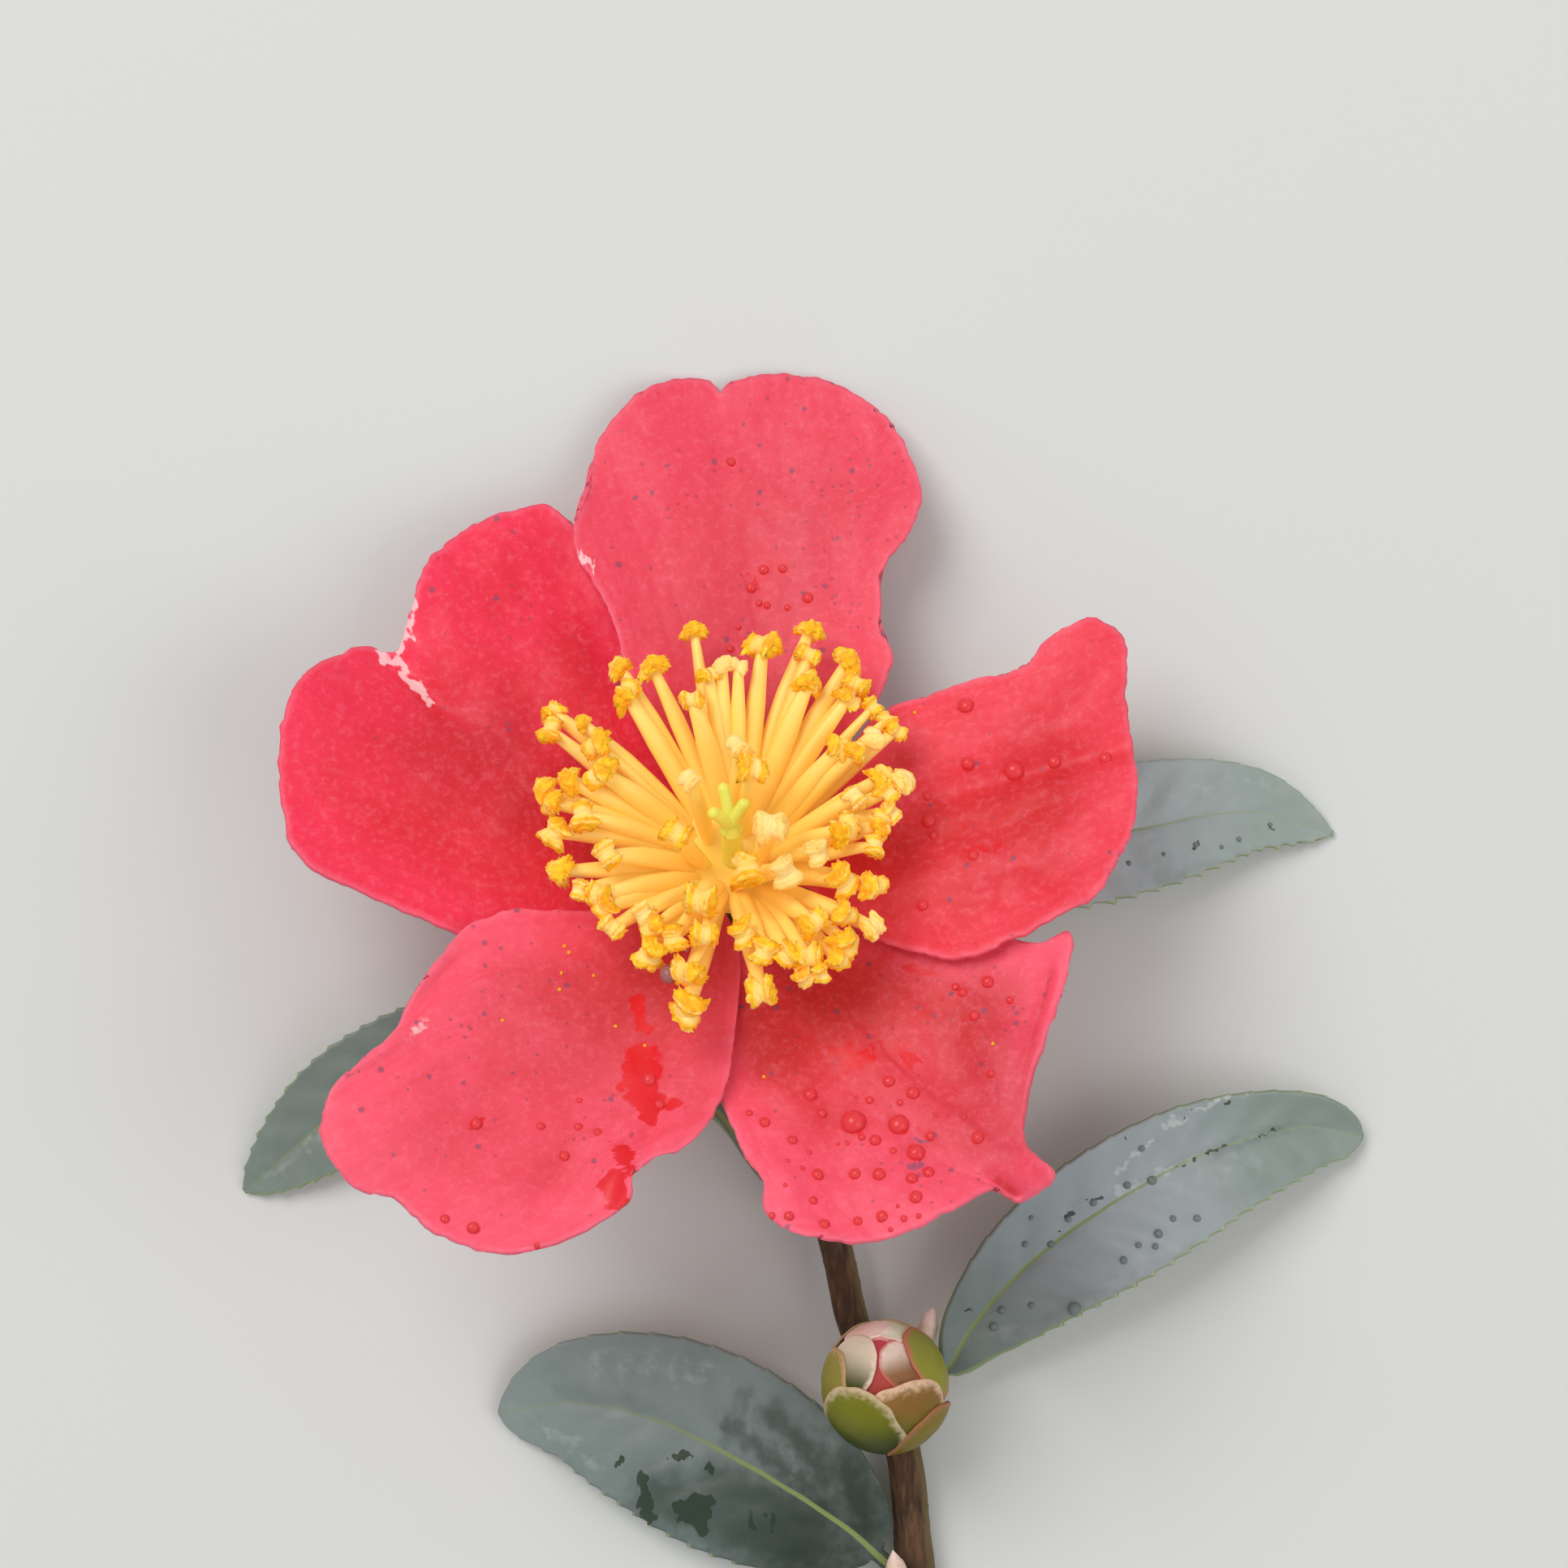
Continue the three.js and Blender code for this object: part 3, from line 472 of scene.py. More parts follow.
# Marks on the blades, each a stroke: its two ends, how far it spreads, and its strength.
PETAL_MARKS = {
    "petal_top": dict(
        speckled=[(-6, 36, 6, 40, 7, 0.26), (9, 24, 9, 38, 6, 0.48), (-8, 28, 2, 24, 5, 0.18)],
        wet=[(1.6, 26.4, 2.6, 25.0, 0.4, 0.9)],
        scarred=[(-12.6, 26.0, -13.6, 27.4, 0.5, 0.8)],
        dull=[(0, 20, 5, 28, 9, 0.9)], shaded=[(0, 6, 0, 12, 6, 0.8)]),
    "petal_upper_left": dict(
        speckled=[(-22, 26, -16, 24, 6, 0.18), (-14, 14, -12, 20, 4, 0.14),
                  (-30, 6, -24, 10, 8, 0.05)],
        scarred=[(-31.2, 18.2, -29.2, 17.2, 0.55, 1), (-29.6, 17.6, -26.6, 14.4, 0.7, 0.9),
                 (-28.6, 19.8, -27.9, 22.6, 0.42, 1), (-29.4, 18.4, -28.4, 20.4, 0.5, 1)],
        dull=[(-8, 2, -20, 0, 7, 0.5)],
        shaded=[(-12, 3, -17, 5, 5, 0.8), (-6, 0, -10, 0, 6, 1), (-20, 10, -25, 9, 6, 0.7)]),
    "petal_lower_left": dict(
        speckled=[(-22, -14, -14, -12, 6, 0.36), (-26, -24, -12, -26, 6, 0.24)],
        wet=[(-7.6, -18.8, -7.8, -21.4, 1.9, 1), (-7.2, -21.8, -5.0, -22.7, 0.9, 1),
             (-7.2, -22.4, -6.8, -24.4, 0.9, 1), (-8.3, -13.2, -7.3, -15.8, 0.8, 0.9),
             (-10.0, -30.4, -9.0, -32.0, 1.2, 1), (-9.5, -26.6, -8.4, -29.4, 0.8, 0.9),
             (-21.6, -25.3, -20.3, -25.0, 0.35, 0.9)],
        scarred=[(-26.8, -18.0, -25.7, -17.1, 0.9, 0.5)],
        dull=[(-9, -16, -16, -10, 8, 0.8)],
        shaded=[(-4, -8, -6, -11, 6, 1), (-2, -16, -3, -22, 3.5, 0.5)]),
    "petal_lower_right": dict(
        speckled=[(6, -16, 12, -15, 6, 0.42), (18, -12, 22, -13, 5, 0.34),
                  (12, -28, 18, -29, 5, 0.20)],
        wet=[(8.6, -17.4, 11.4, -17.9, 0.75, 1), (9.6, -18.6, 10.6, -18.8, 0.6, 0.9),
             (14.2, -17.4, 14.9, -18.6, 0.6, 1), (14.6, -10.2, 16.6, -10.5, 0.5, 0.9)],
        scarred=[(25.4, -9.4, 26.4, -16.6, 0.3, 0.3)],
        bruised=[(15.4, -25.7, 16.4, -26.3, 0.3, 1), (14.0, -27.7, 14.8, -27.9, 0.32, 1),
                 (15.4, -27.9, 15.8, -27.6, 0.25, 1)],
        dull=[(2, -16, 14, -12, 9, 1)],
        shaded=[(3, -8, 5, -11, 3.6, 0.6), (1.5, -12, 3.2, -18, 2.8, 0.9),
                (21, -15, 22.5, -26, 5, 0.65), (21.8, -29.4, 23.4, -30.9, 0.55, 1),
                (24.6, -28.6, 26.0, -30.6, 1.1, 0.4), (26.9, -11.5, 24.3, -20.5, 0.4, 0.6)]),
    "petal_right": dict(
        speckled=[(16, 2, 22, -2, 7, 0.2)],
        wet=[(19.9, -0.6, 22.4, -0.8, 0.5, 0.7), (24, -2.6, 25, -2.2, 0.4, 0.8)],
        dull=[(11.5, 8, 13.5, 12.2, 3.4, 1), (11, 7, 12.5, 8.5, 2.6, 1)],
        shaded=[(9, 0, 12, -2, 6, 0.7), (18, 4.5, 26, 5.5, 2.2, 0.5), (26, 5.5, 34, 7.6, 1.6, 0.4),
                (20, 3, 25, 2, 4, 0.8)]),
}


def away_from(x, y, ax, ay, bx, by):
    """How far a point is from a stroke, and how far along the stroke its nearest point is."""
    run = ((x - ax) * (bx - ax) + (y - ay) * (by - ay)) / ((bx - ax) ** 2 + (by - ay) ** 2 + 1e-9)
    run = held(run)
    return math.hypot(x - ax - run * (bx - ax), y - ay - run * (by - ay)), run


def marked(x, y, strokes, wander=0.0):
    """The strongest stroke at a point; wander makes its outline ragged."""
    share = 0.0
    if wander:
        coarse, close = Vector((x * 0.9, y * 0.9, 4)), Vector((x * 2.4, y * 2.4, 8))
        beside = Vector((9.3, 4.1, 6.7))
        x += wander * (noise.noise(coarse) + 0.6 * noise.noise(close))
        y += wander * (noise.noise(coarse + beside) + 0.6 * noise.noise(close + beside))
    for ax, ay, bx, by, spread, strength in strokes:
        away = away_from(x, y, ax, ay, bx, by)[0]
        share = max(share, strength * bell(away, spread))
    return share


def petal_height(petal, x, y):
    height = bowl(x, y) + petal["layer"] * PETAL_LAYER_RISE
    for dx, dy, spread, rise in petal["dents"]:
        height += rise * math.exp(-((x - dx) ** 2 + (y - dy) ** 2) / spread ** 2)
    for ax, ay, bx, by, spread, rise in petal["folds"]:
        away, run = away_from(x, y, ax, ay, bx, by)
        height += rise * math.sin(math.pi * (0.15 + 0.7 * run)) * bell(away, spread)
    return height


def frilled_margin(petal, foot):
    """The petal's outline from claw to claw, with small uneven frills away from the claw."""
    smooth = smooth_line([foot[0], *[(x, y, 0) for x, y in petal["outline"]], foot[1]])

    def at(share):
        ahead = smooth(share + 0.004) - smooth(share - 0.004)
        outward = Vector((-ahead.y, ahead.x, 0)).normalized()
        run = share * smooth.length
        frill = sum(size * wobble(run * often, petal["seed"], row)
                    for size, often, row in ((0.24, 0.42, 0), (0.17, 1.05, 5), (0.09, 2.3, 9)))
        return smooth(share) + outward * frill * held((min(share, 1 - share) - 0.06) / 0.1)

    return at


def petal_relief(petal, x, y, across, out, edge):
    """Fine rise and fall of the blade: puckers, radiating veins, crinkles and a lifted rim."""
    seed = petal["seed"]
    rises = 0.05 * wobble(across * 22, out * 1.5, seed)
    rises += 0.2 * wobble(across * 5.3 + 0.4, out * 1.2, seed + 1)
    for size, often, row in ((0.5, 0.15, 3), (0.15, 0.55, 7), (0.035, 1.6, 9)):
        rises += size * wobble(x * often, y * often, seed + row)
    rim = 0.16 * wobble(x * 0.5, y * 0.5, seed + 12) * math.exp(-edge / 0.8)
    return rises * min(1.0, out * 2.2) + rim


def petal_skin(name, petal):
    skin = Skin(name, roughness=0.5, specular_ior_level=0.34, subsurface_weight=0.12,
                subsurface_scale=0.0012, subsurface_radius=(1.0, 0.3, 0.25), sheen_weight=0.08,
                sheen_roughness=0.4)
    spread = skin.add("UVMap", uv_map="petal").outputs[0]
    out = skin.add("SeparateXYZ", {0: spread}).outputs[1]
    long_veins = skin.add("Mapping", {"Vector": spread, "Scale": (34, 2.2, 1)}).outputs[0]
    vein = skin.grain(1.0, 4.0, 0.6, long_veins)
    downy = skin.grain(1500.0, 3.0, 0.7)
    # Deeper red towards the claw, where the bloom's middle shades the blade: painted shade.
    body = skin.mix(skin.ramp(out, 0.1, 0.7), petal["deep"], petal["inner"])
    faded = skin.blotches(petal["dull"], body, 260.0, 1.4)
    skin.colour = skin.mix(skin.mark("dull"), skin.blotches(body, petal["outer"], 120.0, 1.8), faded)
    skin.lay(petal["outer"], skin.mark("to_edge"), 0.0, 7.0, 0.9, 0.0)
    skin.lay((250, 120, 144), skin.mark("to_edge"), 0.0, 0.7, 0.4, 0.0)
    skin.lay(petal["deep"], vein, 0.35, 0.6, 0.16, 0.0)
    skin.lay(petal["shade"], skin.mark("shaded"), end=0.75)
    skin.lay((255, 132, 150), downy, 0.45, 0.75, 0.0, 0.22)
    for size, tint, most in ((740.0, (108, 74, 100), 0.62), (1250.0, (124, 60, 84), 0.46)):
        cells = skin.add("TexVoronoi", {"Vector": skin.place(), "Scale": size})
        chance = skin.add("SeparateXYZ", {0: cells.outputs["Color"]}).outputs[0]
        chosen = skin.work_out("LESS_THAN", chance, skin.mark("speckled"))
        uneven = skin.work_out("MULTIPLY_ADD", downy, 0.35, cells.outputs["Distance"])
        speck = skin.work_out("MULTIPLY", chosen, skin.ramp(uneven, 0.30, 0.43, most, 0.0))
        skin.colour = skin.mix(speck, skin.colour, tint)
    skin.lay((250, 196, 196), skin.ragged("scarred", downy, 0.9), 0.85, 1.12, 0.0, 0.9)
    skin.lay((130, 80, 112), skin.ragged("bruised", downy, 0.9), 0.8, 1.1, 0.0, 0.7)
    film = skin.ramp(skin.ragged("wet", downy, 0.5), 0.66, 0.9)
    skin.lay((226, 16, 24), film, end=0.88)
    skin.plug(skin.ramp(film, 0.0, 1.0, 0.5, 0.4), skin.inputs["Roughness"])
    return skin.done(skin.work_out("MULTIPLY_ADD", vein, 0.8, downy), 0.3, 0.00012)


def thickened(piece, thickness):
    """Give a sheet its thickness in millimetres, half to either side."""
    wall = piece.modifiers.new("Thickness", "SOLIDIFY")
    wall.thickness = thickness * 0.001
    wall.offset = 0.0
    return piece


blades = {}
for name, petal in PETALS.items():
    facing = Matrix.Rotation(math.radians(petal["claw"]), 3, "Z")
    foot = [facing @ Vector((CLAW_START, aside, 0))
            for aside in (CLAW_WIDTH / 2, -CLAW_WIDTH / 2)]
    margin = frilled_margin(petal, foot)

    def stretch(start, end, steps):
        """Points at even shares along a stretch of the margin."""
        return [margin(start + (end - start) * k / steps) for k in range(steps + 1)]

    left, right = petal["sides"]
    left_side = stretch(0, left, PETAL_ROWS)
    right_side = stretch(1, 1 - right, PETAL_ROWS)
    tip_line = stretch(left, 1 - right, PETAL_COLUMNS)
    rim = KDTree(RIM_STEPS + 1)
    for k, here in enumerate(stretch(0.02, 0.98, RIM_STEPS)):
        rim.insert((here.x, here.y, 0), k)
    rim.balance()
    bm = bmesh.new()
    bm.loops.layers.uv.new("petal")
    bmesh.ops.create_grid(bm, x_segments=PETAL_COLUMNS, y_segments=PETAL_ROWS, size=0.5,
                          calc_uvs=True)
    shares = [(v.co.x + 0.5, v.co.y + 0.5) for v in bm.verts]
    for v, (across, out) in zip(bm.verts, shares):
        row = round(out * PETAL_ROWS)
        p = foot[0].lerp(foot[1], across).lerp(tip_line[round(across * PETAL_COLUMNS)], out)
        p += left_side[row].lerp(right_side[row], across)
        p -= foot[0].lerp(foot[1], across).lerp(tip_line[0].lerp(tip_line[-1], across), out)
        v.co = p
    within = [v for v in bm.verts if not v.is_boundary]
    for __ in range(FAIRING_ROUNDS):
        bmesh.ops.smooth_vert(bm, verts=within, factor=0.5, use_axis_x=True, use_axis_y=True)
    kinds = ("to_edge", "speckled", "wet", "scarred", "bruised", "dull", "shaded")
    layers = dict(zip(kinds, painted(bm, *kinds)))
    for v, (across, out) in zip(bm.verts, shares):
        x, y = v.co.x, v.co.y
        edge = rim.find((x, y, 0))[2]
        turn = 2 * math.pi * (petal["waves"] * across + 0.35 * out)
        wave = petal["wave"] * out ** 2 * math.sin(turn)
        v.co.z = petal_height(petal, x, y) + wave + petal_relief(petal, x, y, across, out, edge)
        v[layers["to_edge"]] = edge
        for kind, strokes in PETAL_MARKS[name].items():
            sharp = kind in ("wet", "scarred", "bruised")
            v[layers[kind]] = marked(x, y, strokes, 0.9 if sharp else 0.0)
        for drop_x, drop_y, wide in PETAL_DROPS.get(name, []):
            under = 1.04 - math.hypot(x - drop_x, y - drop_y) / wide
            v[layers["wet"]] = max(v[layers["wet"]], min(1.0, under))
    blade = settle(name + "_blade", bm, petal_skin(name, petal), "petal", name,
                   placed=BLOOM_TO_SPRIG)
    blades[name] = thickened(blade, PETAL_THICKNESS)

# Stamens: a ring of thick, waxy filaments fused at the foot, each with a two-lobed anther that
# has burst open and shows its pollen. Places, sizes and paleness of the anthers are listed one by one.
STAMEN_RING = [(0, 0.9), (2.7, 0.9), (2.75, 2.0), (2.9, 3.0), (3.9, 3.7), (5.3, 4.5), (4.7, 5.15),
               (3.2, 5.1), (2.3, 4.6), (1.6, 4.1), (0, 3.9)]
STAMEN_FLOOR = 3.4
ANTHERS = [
    (-3.5, 18.8, 10.1, 1.0, .1), (-9.9, 15.1, 10.6, 1.0, .1), (-7.0, 14.8, 11.2, 1.15, .1),
    (-9.2, 12.0, 11.7, 1.2, .05), (-2.2, 13.7, 12.0, .9, .2), (-3.5, 11.0, 12.7, 1.0, .3),
    (-15.6, 11.1, 10.1, .95, .05), (-15.7, 9.1, 10.5, 1.05, .15), (-12.9, 9.4, 11.4, .75, .2),
    (-11.6, 7.1, 12.1, 1.15, .1), (-11.2, 4.2, 12.6, 1.3, .1), (-16.1, 3.3, 11.2, 1.1, .1),
    (-14.0, 3.8, 11.9, 1.1, .1), (-15.5, 1.9, 11.5, 1.0, .1), (-3.7, 3.0, 14.0, .85, .85),
    (-1.0, 14.6, 11.8, 1.0, .9), (0.4, 14.6, 11.8, .8, .9), (2.5, 17.0, 10.9, 1.4, .05),
    (6.6, 19.1, 9.7, 1.05, .1), (6.4, 16.1, 10.9, 1.1, .1), (6.4, 13.1, 11.8, 1.1, .1),
    (9.9, 15.7, 10.4, 1.25, .1), (10.6, 13.2, 11.0, 1.1, .1), (9.8, 11.5, 11.7, 1.0, .2),
    (11.9, 10.9, 11.3, .9, .1), (13.1, 9.8, 11.2, .8, .1), (13.8, 8.8, 11.2, .95, .2),
    (9.0, 6.6, 12.8, 1.0, .1), (10.5, 6.2, 12.6, 1.0, .2), (12.0, 7.7, 11.9, 1.0, .9),
    (0.5, 6.1, 13.8, 1.0, .7), (1.7, 4.1, 14.0, 1.2, .15), (14.5, 3.8, 11.7, 1.1, .75),
    (12.6, 4.0, 12.3, 1.0, .1), (13.1, 2.6, 12.2, 1.0, .1), (10.4, 1.8, 13.0, 1.0, .5),
    (-12.7, 0.3, 12.4, 1.2, .2), (-15.1, -0.9, 11.6, 1.2, .15), (-10.6, -3.5, 12.8, 1.2, .3),
    (-14.6, -4.4, 11.6, 1.15, .1), (-12.9, -6.2, 11.9, .9, .4), (-11.2, -7.0, 12.3, 1.1, .2),
    (-10.7, -8.1, 12.2, .9, .1), (-10.1, -9.7, 12.0, 1.1, .35), (-7.5, -8.8, 12.7, 1.0, .6),
    (-6.6, -9.9, 12.6, 1.0, .1), (-6.9, -12.1, 12.0, 1.3, .1), (-5.0, -10.9, 12.6, 1.1, .1),
    (-4.7, -1.9, 13.9, 1.15, .1), (-2.7, -8.0, 13.4, 1.35, .15), (-2.3, -10.8, 12.8, 1.15, .15),
    (-3.7, -13.8, 11.9, 1.3, .15), (-3.7, -16.7, 10.9, 1.4, .15), (3.2, -1.3, 14.1, 1.4, .75),
    (1.3, -5.2, 13.9, 1.35, .1), (4.5, -5.4, 13.6, 1.3, .75), (7.1, -3.5, 13.5, 1.1, .7),
    (9.5, -1.3, 13.2, 1.3, .1), (12.5, -0.5, 12.5, 1.1, .15), (13.4, 0.8, 12.2, .9, .5),
    (12.0, -2.5, 12.5, .9, .3), (9.4, -5.8, 12.9, 1.3, .1), (11.8, -6.1, 12.2, 1.15, .2),
    (9.4, -8.7, 12.4, 1.0, .2), (11.8, -9.5, 11.6, 1.0, .6), (6.8, -9.6, 12.7, 1.15, .15),
    (0.9, -10.6, 12.9, 1.15, .1), (2.7, -12.1, 12.5, 1.1, .15), (4.7, -12.4, 12.3, 1.0, .1),
    (6.3, -12.4, 12.0, 1.2, .1), (6.0, -14.1, 11.6, .8, .3), (7.4, -13.6, 11.5, .8, .2),
    (9.5, -11.1, 11.8, 1.2, .1), (8.8, -12.4, 11.6, 1.0, .1), (2.4, -15.3, 11.5, 1.2, .15),
]
FILAMENT_RADII = (0.66, 0.92, 0.88, 0.52)
round_bm = bmesh.new()
bmesh.ops.create_uvsphere(round_bm, u_segments=30, v_segments=18, radius=1.0)
ball = bpy.data.meshes.new("Round start of a pollen sac")
round_bm.to_mesh(ball)
round_bm.free()


def anther_lobe(bm, side, rng, layers, tone):
    """One burst pollen sac: a spread, ruffled half-moon, ridged across, with a ragged outer edge."""
    bm.from_mesh(ball)
    offset = rng.uniform(0, 50)
    spin = Matrix.Rotation(rng.uniform(-0.8, 0.8), 3, "X")
    folds = rng.uniform(4.4, 6.0)
    burst = 1 - 0.75 * tone
    for v in newly_made(bm):
        d = v.co.normalized()
        outer = held(d.x * side * 1.1 + 0.4)
        wander = 0.9 * noise.noise(d * 2.0 + Vector((offset, 0, 0)))
        ridge = math.cos(math.acos(held(d.x * side, -1.0)) * folds + wander)
        teeth = noise.noise(d * 4.4 + Vector((0, offset, 0)))
        crumbs = noise.noise(d * 9.0 + Vector((0, 0, offset)))
        slit = -0.2 * bell(d.y, 0.2) * outer * burst
        ruffle = 0.12 * math.sin(9 * d.y + offset)
        torn = 0.06 * ridge + burst * (0.46 * teeth + 0.24 * crumbs + ruffle)
        line = max(0.0, ridge - 0.35) / 0.65
        v[layers[0]] = held(2.0 * outer - 0.5 * line + 0.5 * teeth)
        v[layers[1]] = held(tone + 0.55 * line + 0.6 * crumbs)
        bulge = d * (1 + torn * outer + slit)
        shaped = spin @ Vector((bulge.x * 0.7, bulge.y * (0.98 + 0.3 * outer),
                                bulge.z * (0.66 + 0.14 * outer)))
        droop = 0.3 * shaped.y ** 2 + 0.25 * max(0.0, shaped.x * side) ** 2
        v.co = Vector((side * 0.48 + shaped.x, shaped.y, shaped.z - droop))


rng = random.Random(7)
filament_bm = bmesh.new()
turned(filament_bm, STAMEN_RING, 40)
for v in filament_bm.verts:
    v.co += Vector((v.co.x, v.co.y, 0)) * 0.05 * noise.noise(v.co * 1.4)
[along_layer] = painted(filament_bm, "along")
anther_bm = bmesh.new()
one_anther = bpy.data.meshes.new("One anther")
for x, y, w, size, tone in ANTHERS:
    head = Vector((x, y, w))
    turn = math.atan2(y, x) + rng.uniform(-0.12, 0.12)
    root_radius = 2.1 + 1.2 * min(1.0, math.hypot(x, y) / 17)
    root = Vector((root_radius * math.cos(turn), root_radius * math.sin(turn), STAMEN_FLOOR))
    sway = Vector((rng.uniform(-0.35, 0.35), rng.uniform(-0.35, 0.35), 0.0))
    lift = Vector((0, 0, 0.05 * (head - root).length))
    route = smooth_line([root, root.lerp(head, 0.33) + sway + lift * 0.9,
                         root.lerp(head, 0.7) + sway * 0.7 + lift, head])
    stoutness = rng.uniform(0.84, 1.08) * (0.8 + 0.2 * size)
    flat = rng.uniform(0.62, 0.9)
    flat_turn = rng.uniform(0, math.pi)

    def filament_radius(share, turned_by):
        step = held(share, high=0.9999) * 3
        k = int(step)
        radius = FILAMENT_RADII[k] + (FILAMENT_RADII[k + 1] - FILAMENT_RADII[k]) * (step - k)
        return radius * stoutness * (1 - (1 - flat) * math.sin(turned_by - flat_turn) ** 2)

    verts = wrapped_tube(filament_bm, route, filament_radius, 9, 12, (head - root).orthogonal())
    for v in verts:
        v[along_layer] = (v.co - root).length / (head - root).length
    turning = (route(1.0) - route(0.9)).normalized().to_track_quat("Z", "X").to_matrix().to_4x4()
    turning = turning @ Matrix.Rotation(rng.uniform(0, math.pi), 4, "Z")
    turning = turning @ Matrix.Rotation(rng.uniform(-0.35, 0.35), 4, "Y")
    one_bm = bmesh.new()
    one_layers = painted(one_bm, "pollen", "cream")
    newly_made(one_bm)
    for side in (1, -1):
        anther_lobe(one_bm, side, rng, one_layers, tone)
    hinge = bmesh.ops.create_icosphere(one_bm, subdivisions=2, radius=0.72)["verts"]
    for v in hinge:
        v.co = Vector((v.co.x * 0.85, v.co.y * 1.1, v.co.z * 0.95 - 0.1))
        v[one_layers[1]] = 0.25 + 0.6 * tone
    placing = Matrix.Translation(head) @ turning @ Matrix.Scale(0.93 * size, 4)
    bmesh.ops.transform(one_bm, verts=one_bm.verts, matrix=placing)
    one_bm.to_mesh(one_anther)
    one_bm.free()
    anther_bm.from_mesh(one_anther)

# The filaments glow faintly in their own colour: painted light standing in for light shining through
# them.
waxy = Skin("Waxy filaments", roughness=0.42, subsurface_weight=0.25, subsurface_scale=0.0015,
            subsurface_radius=(1.0, 0.55, 0.2), emission_strength=0.1)
along = waxy.mark("along")
waxy.colour = waxy.mix(waxy.ramp(along, 0.0, 0.4), (255, 212, 112), (255, 211, 108))
waxy.lay((255, 220, 126), along, 0.5, 1.0)
waxy.colour = waxy.blotches(waxy.colour, (255, 213, 98), 300.0, 1.6)
settle("filaments", filament_bm, waxy.done(), "stamens", "stamens", placed=BLOOM_TO_SPRIG)

# The anthers and pollen glow faintly in their own colour: painted light.
dusty = Skin("Pollen and anther walls", roughness=0.72, subsurface_weight=0.1,
             subsurface_scale=0.0008, emission_strength=0.1)
cream = dusty.mark("cream")
dusty.colour = dusty.mix(cream, (255, 204, 88), (255, 226, 150))
grainy = dusty.blotches((255, 160, 0), (255, 204, 24), 1100.0, 3.4)
dust = dusty.mix(dusty.ramp(cream, 0.3, 1.0, 0.0, 0.75), grainy, (255, 224, 140))
dusty.lay(dust, dusty.mark("pollen"), 0.25, 0.75)
dusty_skin = dusty.done(dusty.grain(5200.0), 0.6)
settle("anthers", anther_bm, dusty_skin, "stamens", placed=BLOOM_TO_SPRIG)

# Pistil: one smooth green style in the middle of the stamens, parted near its top into three
# short arms with blunt, slightly swollen tips.
STYLE_FOOT = Vector((0.0, 0.0, 4.2))
STYLE_FORK = Vector((-0.2, 0.3, 10.3))
STYLE_TIPS = [(-0.9, 3.1, 13.0), (-2.0, 0.6, 12.8), (1.2, 1.6, 12.8)]
bm = bmesh.new()
wrapped_tube(bm, smooth_line([STYLE_FOOT, (-0.1, 0.1, 7.0), STYLE_FORK]),
             lambda share, turn: 1.0 - 0.12 * share, 16, 14, (1, 0, 0))
for tip in STYLE_TIPS:
    tip = Vector(tip)
    start = STYLE_FORK.lerp(tip, -0.25)

    def arm_radius(share, turn):
        swollen = 0.74 - 0.3 * share + 0.07 * bell(share - 0.9, 0.09)
        return swollen * math.sqrt(max(0.05, 1 - max(0.0, (share - 0.9) / 0.1) ** 2))

    route = smooth_line([start, STYLE_FORK.lerp(tip, 0.45) + Vector((0, 0, 0.35)), tip])
    upright = abs((tip - start).normalized().z) >= 0.8
    wrapped_tube(bm, route, arm_radius, 12, 24, (1, 0, 0) if upright else (0, 0, 1))
# The style glows faintly in its own colour: painted light, lifting it out of the shade between the
# filaments.
style = Skin("Smooth green style", roughness=0.35, subsurface_weight=0.2, subsurface_scale=0.001,
             emission_strength=0.12)
style.colour = style.blotches((214, 220, 84), (232, 220, 100), 500.0, 2.0)
settle("style", bm, style.done(), "pistil", "pistil", placed=BLOOM_TO_SPRIG)

# Flower bud: round and still closed, wrapped in overlapping leathery scales that are green with
# blushed, papery margins. It stands on a short stalk beside the stem.
BUD_TO_SPRIG = Matrix.Translation((8.8, -52.2, 11.5)) @ Matrix.Rotation(math.radians(-36), 4, "X")
BUD_CROWN = Vector((-0.1, 0.93, 0.36))
BUD_SCALES = [
    # place of the middle as seen from above, spread, layer, squareness, colours of foot, tip, margin
    ((-0.06, 0.55, 1), 38, 0.02, 2, (204, 104, 104), (236, 164, 160), (244, 190, 182)),
    ((-0.18, 0.30, 1), 29, 0.08, 2, (172, 66, 62), (190, 70, 78), (200, 76, 84)),
    ((0.25, 0.39, 1), 24, 0.14, 2, (136, 92, 56), (232, 208, 192), (206, 104, 98)),
    ((-0.66, 0.30, 1), 33, 0.34, 2, (60, 66, 8), (218, 202, 178), (234, 208, 184)),
    ((0.80, 0.42, 1), 35, 0.38, 2, (142, 140, 44), (138, 138, 56), (196, 108, 92)),
    ((-0.34, 0.90, 1), 22, 0.24, 2, (236, 190, 172), (252, 214, 202), (250, 218, 206)),
    ((0.26, 0.92, 1), 26, 0.19, 2, (200, 200, 150), (236, 234, 208), (234, 206, 186)),
    ((-0.96, -0.06, 1), 36, 0.44, 2, (124, 112, 30), (142, 130, 56), (196, 156, 118)),
    ((0.40, 0.30, -1), 66, 0.34, 2, (92, 98, 34), (122, 118, 60), (180, 148, 112)),
    ((-0.45, 0.10, -1), 62, 0.40, 2, (88, 96, 32), (122, 118, 60), (180, 148, 112)),
    ((0.38, -0.68, 1), 44, 0.50, 3.6, (20, 108, 6), (136, 96, 44), (232, 192, 160)),
    ((-0.42, -0.74, 1), 46, 0.62, 2, (34, 52, 0), (116, 116, 26), (206, 182, 146)),
    ((0.62, -0.80, 1), 37, 0.74, 2, (104, 92, 0), (124, 106, 14), (164, 108, 76)),
]
BUD_RADIUS = 5.0
BUD_LONG = 6.2 / 5.25
BUD_SCALE_THICKNESS = 0.26
BUD_STALK = [(9.5, -57.0, 5.0), (9.35, -56.4, 6.2), (9.1, -55.6, 7.6)]


